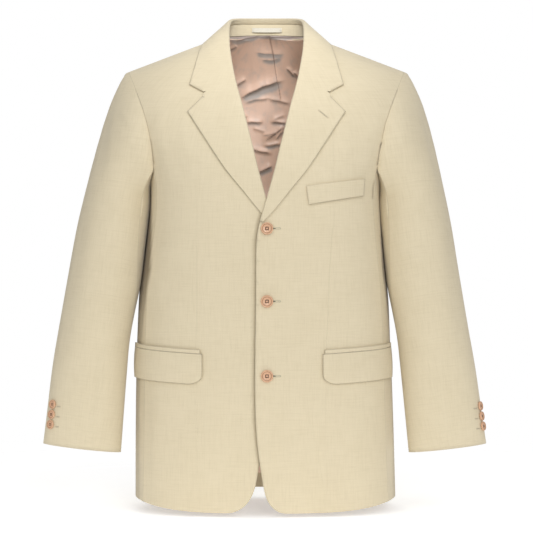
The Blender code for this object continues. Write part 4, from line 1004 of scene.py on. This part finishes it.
class BLAZER_OT_lining(bpy.types.Operator):
    """Crease the satin lining of the back"""
    bl_idname = "blazer.lining"
    bl_label = "Back lining"

    def execute(self, context):
        item = copy_node("back_lining", "back_lining_satin")
        subdivide(item, 3)
        work = bmesh.new()
        work.from_mesh(item.data)
        upright = []
        for edge in work.edges:
            start, end = (vertex.co for vertex in edge.verts)
            if abs(end.z - start.z) > abs(end.x - start.x) and min(start.z, end.z) > FINE_LINING_Z:
                upright.append(edge)
        bmesh.ops.subdivide_edges(work, edges=upright, cuts=3, use_grid_fill=True)
        work.to_mesh(item.data)
        work.free()
        points = coordinates(item)
        height, cool, dark = crease_lining(points)
        under_stand_shade = under_stand(points)
        scale = sizes().lining_crease / 0.0060
        set_coordinates(item, points - body_outward(points) * (height * scale)[:, None])
        # Grey: painted sheen below the creases and painted shade under the collar stand.
        store(item, "turn", np.maximum(cool, under_stand_shade))
        # Painted shade in the creases, the pleat and under the collar stand.
        store(item, "fold", np.maximum(dark, 0.65 * smooth_step(under_stand_shade * 2.0 - 0.8)))
        across, along = body_lie(points)
        set_uv(item, across, along)
        smooth(item, 80.0)
        finish_piece(item, made_once("satin_cloth", satin_material), "back_lining")
        return {"FINISHED"}


class BLAZER_OT_hanger_loop(bpy.types.Operator):
    """Finish the hanger loop as ribbed braid with a bar tack at each end"""
    bl_idname = "blazer.hanger_loop"
    bl_label = "Hanger loop"

    def execute(self, context):
        braid = made_once("ribbed_braid", thread_material, "ribbed_braid", tuple(colours().braid))
        item = copy_node("hanger_loop", "hanger_loop_braid")
        subdivide(item, 3)
        smooth(item)
        finish_piece(item, braid, "hanger_loop")
        low, high = (np.array(corner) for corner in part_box("hanger_loop"))
        for number, x in enumerate((low[0] + 0.0025, high[0] - 0.0025), start=1):
            bpy.ops.object.select_all(action="DESELECT")
            near = coordinates(item)
            near = near[np.abs(near[:, 0] - x) < 0.0015]
            place = (x, float(near[:, 1].min()) - 0.0002, float((low[2] + high[2]) / 2.0))
            bpy.ops.mesh.primitive_uv_sphere_add(segments=16, ring_count=8, radius=0.0010, location=place)
            tack = bpy.context.active_object
            tack.name = f"loop_tack_{number}"
            tack.scale = (0.8, 0.35, (high[2] - low[2]) / 0.0022)
            bpy.ops.object.transform_apply(location=True, rotation=True, scale=True)
            smooth(tack)
            finish_piece(tack, braid)
        return {"FINISHED"}


# ---------------------------------------------------------------- buttons

BUTTON_RADIUS = 0.0100
BUTTON_THICKNESS = 0.0034
HOLE_REACH = 0.0021
HOLE_RADIUS = 0.0009
# A ring of painted shade in the dish inside the rim: its place and width, as shares of the radius.
DISH_SHADE_RING, DISH_SHADE_WIDTH = 0.72, 0.06  # the dark ring inside the rim, as shares of the radius
THREADS = ((-1, -1, 1, -1), (-1, 1, 1, 1), (-1, -1, -1, 1), (1, -1, 1, 1))


def pick_faces(item, wanted):
    """Selects the faces of the mesh in edit mode that pass a test."""
    work = bmesh.from_edit_mesh(item.data)
    for face in work.faces:
        face.select_set(wanted(face))
    work.select_flush(True)
    bmesh.update_edit_mesh(item.data)


def make_button():
    """One button about the origin: its back at z = 0, its rim, dish and holes facing up."""
    bpy.ops.object.select_all(action="DESELECT")
    bpy.ops.mesh.primitive_cylinder_add(
        vertices=64, radius=BUTTON_RADIUS * 0.94, depth=BUTTON_THICKNESS * 0.45,
        location=(0.0, 0.0, BUTTON_THICKNESS * 0.225))
    item = bpy.context.active_object
    bpy.ops.object.transform_apply(location=True, rotation=True, scale=True)
    bpy.ops.object.mode_set(mode="EDIT")
    pick_faces(item, lambda face: face.normal.z > 0.9)
    steps = ((0.06, 0.18), (-0.05, 0.42), (-0.085, 0.14), (-0.10, -0.10), (-0.07, -0.20), (-0.08, -0.06))
    radius = BUTTON_RADIUS * 0.94
    for grow, rise in steps:
        wider = radius + BUTTON_RADIUS * grow
        lift = (0.0, 0.0, BUTTON_THICKNESS * rise * 0.9)
        bpy.ops.mesh.extrude_region_move(TRANSFORM_OT_translate={"value": lift})
        bpy.ops.transform.resize(value=(wider / radius, wider / radius, 1.0))
        radius = wider
    pick_faces(item, lambda face: face.normal.z < -0.9)
    bpy.ops.mesh.inset(thickness=BUTTON_RADIUS * 0.12)
    bpy.ops.object.mode_set(mode="OBJECT")
    reach = HOLE_REACH * math.sqrt(2.0)
    for step in range(4):
        turn = math.pi / 4.0 + step * math.pi / 2.0
        place = (reach * math.cos(turn), reach * math.sin(turn), 0.0)
        bpy.ops.object.select_all(action="DESELECT")
        bpy.ops.mesh.primitive_cylinder_add(vertices=20, radius=HOLE_RADIUS, depth=0.02, location=place)
        drill = bpy.context.active_object
        cut = item.modifiers.new("hole", "BOOLEAN")
        cut.operation, cut.solver, cut.object = "DIFFERENCE", "EXACT", drill
        select_only(item)
        bpy.ops.object.modifier_apply(modifier=cut.name)
        bpy.data.objects.remove(drill)
    bevel = item.modifiers.new("worn_edges", "BEVEL")
    bevel.width, bevel.segments, bevel.limit_method = 0.00022, 2, "ANGLE"
    bevel.angle_limit = math.radians(25.0)
    select_only(item)
    bpy.ops.object.modifier_apply(modifier=bevel.name)
    points = coordinates(item)
    rim = np.hypot(points[:, 0], points[:, 1]) / BUTTON_RADIUS
    # Painted shade in the dish inside the rim.
    store(item, "dish_shade", np.exp(-((rim - DISH_SHADE_RING) / DISH_SHADE_WIDTH) ** 2))
    return item


def make_threads():
    """The threads between a button's holes, about the origin."""
    made = []
    for start_x, start_y, end_x, end_y in THREADS:
        start, end = np.array((start_x, start_y)) * HOLE_REACH, np.array((end_x, end_y)) * HOLE_REACH
        middle = (start + end) / 2.0
        bpy.ops.object.select_all(action="DESELECT")
        bpy.ops.mesh.primitive_cylinder_add(
            vertices=12, radius=sizes().sewing_thread * 1.3, depth=2.0 * HOLE_REACH, end_fill_type="NGON")
        thread = bpy.context.active_object
        bpy.ops.object.mode_set(mode="EDIT")
        for cut_z in (0.0009, -0.0009):
            bpy.ops.mesh.select_all(action="SELECT")
            bpy.ops.mesh.bisect(plane_co=(0, 0, cut_z), plane_no=(0, 0, 1))
        bpy.ops.object.mode_set(mode="OBJECT")
        points = coordinates(thread)
        along = points[:, 2].copy()
        arch = BUTTON_THICKNESS * 0.74 - 0.0011 * (np.abs(along) / HOLE_REACH) ** 3
        level = Vector((end[0] - start[0], end[1] - start[1], 0.0)).normalized()
        beside = Vector((-level.y, level.x, 0.0))
        moved = (np.outer(along, level) + np.outer(points[:, 0], beside))
        moved[:, :2] += middle
        moved[:, 2] = points[:, 1] + arch
        set_coordinates(thread, moved)
        select_only(thread)
        bpy.ops.object.mode_set(mode="EDIT")
        bpy.ops.mesh.select_all(action="SELECT")
        bpy.ops.mesh.normals_make_consistent(inside=False)
        bpy.ops.object.mode_set(mode="OBJECT")
        made.append(thread)
    select_only(*made)
    bpy.ops.object.join()
    return bpy.context.active_object


def button_frame(node):
    """Where a button sits and how it faces, from its solid: a matrix with +Z out of the cloth."""
    mesh = frame["nodes"][node].data
    points = np.array([vertex.co for vertex in mesh.vertices])
    middle = (points.min(axis=0) + points.max(axis=0)) / 2.0
    middle = np.mean(np.unique(np.round(points, 5), axis=0), axis=0) * 0.5 + middle * 0.5
    _, _, axes = np.linalg.svd(points - points.mean(axis=0), full_matrices=False)
    out = axes[2]
    if "cuff" in node:
        side = -1.0 if "right" in node else 1.0
        wanted = sleeve_outward(middle[None, :], side)[0]
    else:
        wanted = np.array((0.0, -1.0, 0.0))
    out = out if out @ wanted > 0.0 else -out
    lowest = ((points - middle) @ out).min()
    across = unit(np.cross((0.0, 0.0, 1.0), out))
    up = np.cross(out, across)
    place = middle + out * lowest
    width = np.ptp((points - middle) @ up)
    rows = [list(row) for row in np.column_stack((across, up, out, place))]
    return Matrix(rows + [[0.0, 0.0, 0.0, 1.0]]), width


def place_button(button, threads, node, horn, thread):
    """A copy of the button and its threads at a solid's place and size."""
    matrix, width = button_frame(node)
    scale = width / (2.0 * BUTTON_RADIUS)
    matrix = matrix @ Matrix.Scale(scale, 4)
    for source, suffix, material, replaced in (
            (button, "horn", horn, node), (threads, "threads", thread, None)):
        item = bpy.data.objects.new(f"{node}_{suffix}", source.data.copy())
        bpy.context.collection.objects.link(item)
        item.data.transform(matrix)
        smooth(item, 35.0)
        finish_piece(item, material, replaced)


class BLAZER_OT_buttons(bpy.types.Operator):
    """Make the front and cuff buttons with their threads"""
    bl_idname = "blazer.buttons"
    bl_label = "Buttons"

    def execute(self, context):
        horn = made_once("turned_horn", horn_material)
        thread = made_once(
            "button_thread", thread_material, "button_thread", tuple(colours().button_thread))
        button, threads = make_button(), make_threads()
        for node in BUTTON_NODES + CUFF_BUTTON_NODES:
            place_button(button, threads, node, horn, thread)
        for source in (button, threads):
            bpy.data.objects.remove(source)
        return {"FINISHED"}


# ---------------------------------------------------------------- sewing

FRONT_HOLE_X = (0.0030, 0.0225)  # where the front buttonholes start and end
LAPEL_HOLE = ((0.0829, -0.1243), (0.0985, -0.1371))  # start and end as x and z
CUFF_HOLE_REACH, CUFF_HOLE_DROP = (0.0025, 0.0085), 0.0035  # inwards from the button, and below its middle
BEFORE_CLOTH_Y = -0.3  # in front of all the cloth
STITCH_RISE = 0.0002  # of the buttonholes over the cloth
SLIT_RISE = 0.00012
PALE_SHARE = 0.80  # colour of the thread that matches the cloth, as a share of the linen's


def surface_point(item, x, z):
    """Where a straight line from the front meets a finished piece, and the way out of the cloth there."""
    hit, place, normal, _ = item.ray_cast(Vector((x, BEFORE_CLOTH_Y, z)), Vector((0.0, 1.0, 0.0)))
    if not hit:
        raise RuntimeError(f"no cloth of {item.name} at x {x}, z {z}")
    return np.array(place), np.array(normal)


def lay_along(item, name, points, place, along, normal):
    """Names a piece made about the origin and lays it on the cloth, its x along a line there."""
    item.name = name
    beside = unit(np.cross(normal, along))
    set_coordinates(item, place + points @ np.array((along, beside, np.cross(along, beside))))
    smooth(item, 60.0)


def make_stitch_ring(name, start, end, normal, width, thickness):
    """A worked buttonhole: a torus drawn out to a long ring, lying on the cloth between two places."""
    reach = np.linalg.norm(end - start)
    bpy.ops.object.select_all(action="DESELECT")
    bpy.ops.mesh.primitive_torus_add(
        major_segments=32, minor_segments=10, major_radius=width / 2.0, minor_radius=thickness / 2.0)
    item = bpy.context.active_object
    bpy.ops.object.mode_set(mode="EDIT")
    pick_faces(item, lambda face: face.calc_center_median().x > 0.0)
    bpy.ops.transform.translate(value=(reach - width, 0.0, 0.0))
    for share in (0.33, 0.66):
        bpy.ops.mesh.select_all(action="SELECT")
        bpy.ops.mesh.bisect(plane_co=(reach * share, 0, 0), plane_no=(1, 0, 0))
    bpy.ops.object.mode_set(mode="OBJECT")
    points = coordinates(item) + (width / 2.0, 0.0, 0.0)
    lay_along(item, name, points, start, unit(end - start), normal)
    return item


def make_slit(name, start, end, normal, width):
    """The slit inside a buttonhole, as a low lens on the cloth: painted shade in the front holes, pale thread
    in the others.
    """
    bpy.ops.object.select_all(action="DESELECT")
    bpy.ops.mesh.primitive_uv_sphere_add(segments=16, ring_count=8, radius=1.0)
    item = bpy.context.active_object
    points = coordinates(item) * (np.linalg.norm(end - start) / 2.0, width / 2.0, SLIT_RISE)
    lay_along(item, name, points, (start + end) / 2.0, unit(end - start), normal)
    return item


def add_buttonhole(name, cloth, spots, width, stitches, slit, open_share):
    """A worked hole on the cloth between two spots, each given as x and z."""
    (start, normal), (end, _) = (surface_point(cloth, x, z) for x, z in spots)
    rise = normal * STITCH_RISE
    ring = make_stitch_ring(
        f"{name}_stitches", start + rise, end + rise, normal, width, sizes().sewing_thread)
    finish_piece(ring, stitches)
    low, high = start + (end - start) * open_share[0], start + (end - start) * open_share[1]
    lens = make_slit(f"{name}_slit", low + rise, high + rise, normal, width * 0.55)
    finish_piece(lens, slit)


class BLAZER_OT_buttonholes(bpy.types.Operator):
    """Work the buttonholes of the front, the lapel and the cuffs"""
    bl_idname = "blazer.buttonholes"
    bl_label = "Buttonholes"

    def execute(self, context):
        stitches, slit, pale = (
            made_once(name, thread_material, name, tuple(value)) for name, value in (
                ("buttonhole_thread", colours().buttonhole), ("slit_shade", (0.045, 0.040, 0.028)),
                ("pale_thread", [channel * PALE_SHARE for channel in colours().linen])))
        front = bpy.data.objects["front_left_cloth"]
        for number, node in enumerate(BUTTON_NODES, start=1):
            low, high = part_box(node)
            z = (low[2] + high[2]) / 2.0
            spots = [(x, z) for x in FRONT_HOLE_X]
            # Its slit is a lens of painted shade.
            add_buttonhole(f"front_hole_{number}", front, spots, 0.0022, stitches, slit, (0.02, 0.62))
        lapel = bpy.data.objects["lapel_left_cloth"]
        add_buttonhole("lapel_hole", lapel, LAPEL_HOLE, 0.0018, pale, pale, (0.1, 0.9))
        for node in CUFF_BUTTON_NODES:
            side = "right" if "right" in node else "left"
            sleeve = bpy.data.objects[f"top_sleeve_{side}_cloth"]
            low, high = (np.array(corner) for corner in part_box(node))
            z = (low[2] + high[2]) / 2.0 - CUFF_HOLE_DROP
            inner, inwards = (high[0], 1.0) if side == "right" else (low[0], -1.0)
            spots = [(inner + inwards * reach, z) for reach in CUFF_HOLE_REACH]
            add_buttonhole(node.replace("button", "hole"), sleeve, spots, 0.0017, pale, pale, (0.1, 0.9))
        return {"FINISHED"}


# ---------------------------------------------------------------- stage

CAMERA_PLACE = (0.0, -3.2, -0.3737)
CAMERA_LENS = 131.0
FLOOR_HALF_WIDTH = 2.4
FLOOR_FADE = (0.35, 1.4)  # the floor fades out between these distances from the object
LIGHTS = (  # name, place, aim, size, power, spread in degrees
    ("key_soft", (1.6, -3.0, 1.9), (0.0, 0.0, -0.35), 2.2, 25.0, 180.0),
    ("fill_soft", (-2.0, -3.0, 0.9), (0.0, 0.0, -0.35), 2.4, 19.0, 180.0),
    ("front_soft", (0.55, -3.4, 0.15), (0.0, 0.0, -0.35), 0.8, 29.0, 180.0),
    ("back_soft", (-0.8, 3.2, 1.3), (0.0, 0.0, -0.35), 2.2, 16.0, 180.0),
    ("neck_soft", (0.0, -0.9, 0.75), (0.0, 0.05, -0.06), 0.3, 0.24, 30.0),
)
AIR_LIGHT = 0.47  # strength of the air as a light; the camera sees it white
FLOOR_GLOW = 0.44


class BLAZER_OT_stage(bpy.types.Operator):
    """Lay the floor, and set the lights and the camera"""
    bl_idname = "blazer.stage"
    bl_label = "Stage"

    def execute(self, context):
        bpy.ops.object.select_all(action="DESELECT")
        level = CAD_BOX[0][2] - sizes().floor_drop
        bpy.ops.mesh.primitive_plane_add(size=2.0 * FLOOR_HALF_WIDTH, location=(0.0, 0.0, level))
        floor = context.active_object
        floor.name = "studio_floor"
        bpy.ops.object.transform_apply(location=True, rotation=True, scale=True)
        floor.data.materials.append(floor_material())
        for name, place, aim, size, power, spread in LIGHTS:
            light = bpy.data.lights.new(name, "AREA")
            light.shape, light.size, light.energy, light.spread = "DISK", size, power, math.radians(spread)
            lamp = bpy.data.objects.new(name, light)
            lamp.location = place
            lamp.rotation_euler = (Vector(aim) - Vector(place)).to_track_quat("-Z", "Y").to_euler()
            context.collection.objects.link(lamp)
        world = bpy.data.worlds.new("studio_air")
        world.use_nodes = True
        air = Nodes(world.node_tree)
        looked_at = air.add("ShaderNodeLightPath").outputs["Is Camera Ray"]
        background = world.node_tree.nodes["Background"].inputs
        background["Color"].default_value = (1.0, 1.0, 1.0, 1.0)
        air.plug(background["Strength"], air.math("MAXIMUM", looked_at, AIR_LIGHT))
        context.scene.world = world
        camera = bpy.data.objects.new("camera", bpy.data.cameras.new("camera"))
        camera.data.lens = CAMERA_LENS
        camera.data.sensor_width = 36.0
        camera.location = CAMERA_PLACE
        camera.rotation_euler = (math.radians(90.0), 0.0, 0.0)
        context.collection.objects.link(camera)
        context.scene.camera = camera
        context.scene.view_settings.view_transform = "Standard"
        return {"FINISHED"}


# ---------------------------------------------------------------- panel and registration

OPERATORS = (
    BLAZER_OT_panels, BLAZER_OT_sleeves, BLAZER_OT_collar, BLAZER_OT_pockets, BLAZER_OT_lining,
    BLAZER_OT_hanger_loop, BLAZER_OT_buttons, BLAZER_OT_buttonholes, BLAZER_OT_stage)


class BLAZER_PT_looks(bpy.types.Panel):
    """Buttons for each group of pieces, and the settings that they read"""
    bl_idname = "BLAZER_PT_looks"
    bl_label = "Blazer looks"
    bl_space_type = "VIEW_3D"
    bl_region_type = "UI"
    bl_category = "Blazer"

    def draw(self, context):
        for operator in OPERATORS:
            self.layout.operator(operator.bl_idname)
        for group in (context.scene.blazer_sizes, context.scene.blazer_colours):
            for name in group.__annotations__:
                self.layout.prop(group, name)


CLASSES = (BlazerSizes, BlazerColours) + OPERATORS + (BLAZER_PT_looks,)


def register():
    for item in CLASSES:
        bpy.utils.register_class(item)
    bpy.types.Scene.blazer_sizes = PointerProperty(type=BlazerSizes)
    bpy.types.Scene.blazer_colours = PointerProperty(type=BlazerColours)


def unregister():
    del bpy.types.Scene.blazer_sizes
    del bpy.types.Scene.blazer_colours
    for item in reversed(CLASSES):
        bpy.utils.unregister_class(item)


# Each piece of cloth as cut, without seam allowances: width, length, area, how it is held and what
# it is sewn to.
SIDE_CUTS = {
    "front": (0.300, 0.770, 0.157, "draped", "back"),
    "side": (0.185, 0.575, 0.090, "draped", "back"),
    "back": (0.235, 0.770, 0.157, "draped", "front"),
    "top_sleeve": (0.235, 0.630, 0.121, "hung", "back"),
    "under_sleeve": (0.170, 0.555, 0.075, "hung", "side"),
    "lapel": (0.100, 0.260, 0.017, "folded", "front"),
    "flap": (0.150, 0.057, 0.0079, "hung", "jetting"),
    "jetting": (0.147, 0.010, 0.0013, "laid", "front"),
}
SINGLE_CUTS = {
    "collar_leaf_cloth": (0.500, 0.090, 0.034, "folded", "collar_stand_cloth"),
    "collar_stand_cloth": (0.200, 0.035, 0.005, "draped", "back_left_cloth"),
    "breast_welt_cloth": (0.104, 0.032, 0.0031, "laid", "front_left_cloth"),
    "back_lining_satin": (0.330, 0.750, 0.217, "gathered", "collar_stand_cloth"),
    "hanger_loop_braid": (0.010, 0.056, 0.00046, "hung", "collar_stand_cloth"),
}


def declare_sheets():
    """Gathers the cut size of every piece of cloth into a table, which is not used further."""
    cuts = dict(SINGLE_CUTS)
    for name, _ in SIDES:
        for kind, (width, length_, area, held, rests_on) in SIDE_CUTS.items():
            cuts[f"{kind}_{name}_cloth"] = (width, length_, area, held, f"{rests_on}_{name}_cloth")


def main():
    register()
    blazer = bpy.ops.blazer
    for make in (blazer.panels, blazer.sleeves, blazer.collar, blazer.pockets, blazer.lining,
                 blazer.hanger_loop, blazer.buttons, blazer.buttonholes, blazer.stage):
        make()
    declare_sheets()


if __name__ == "__main__":
    main()
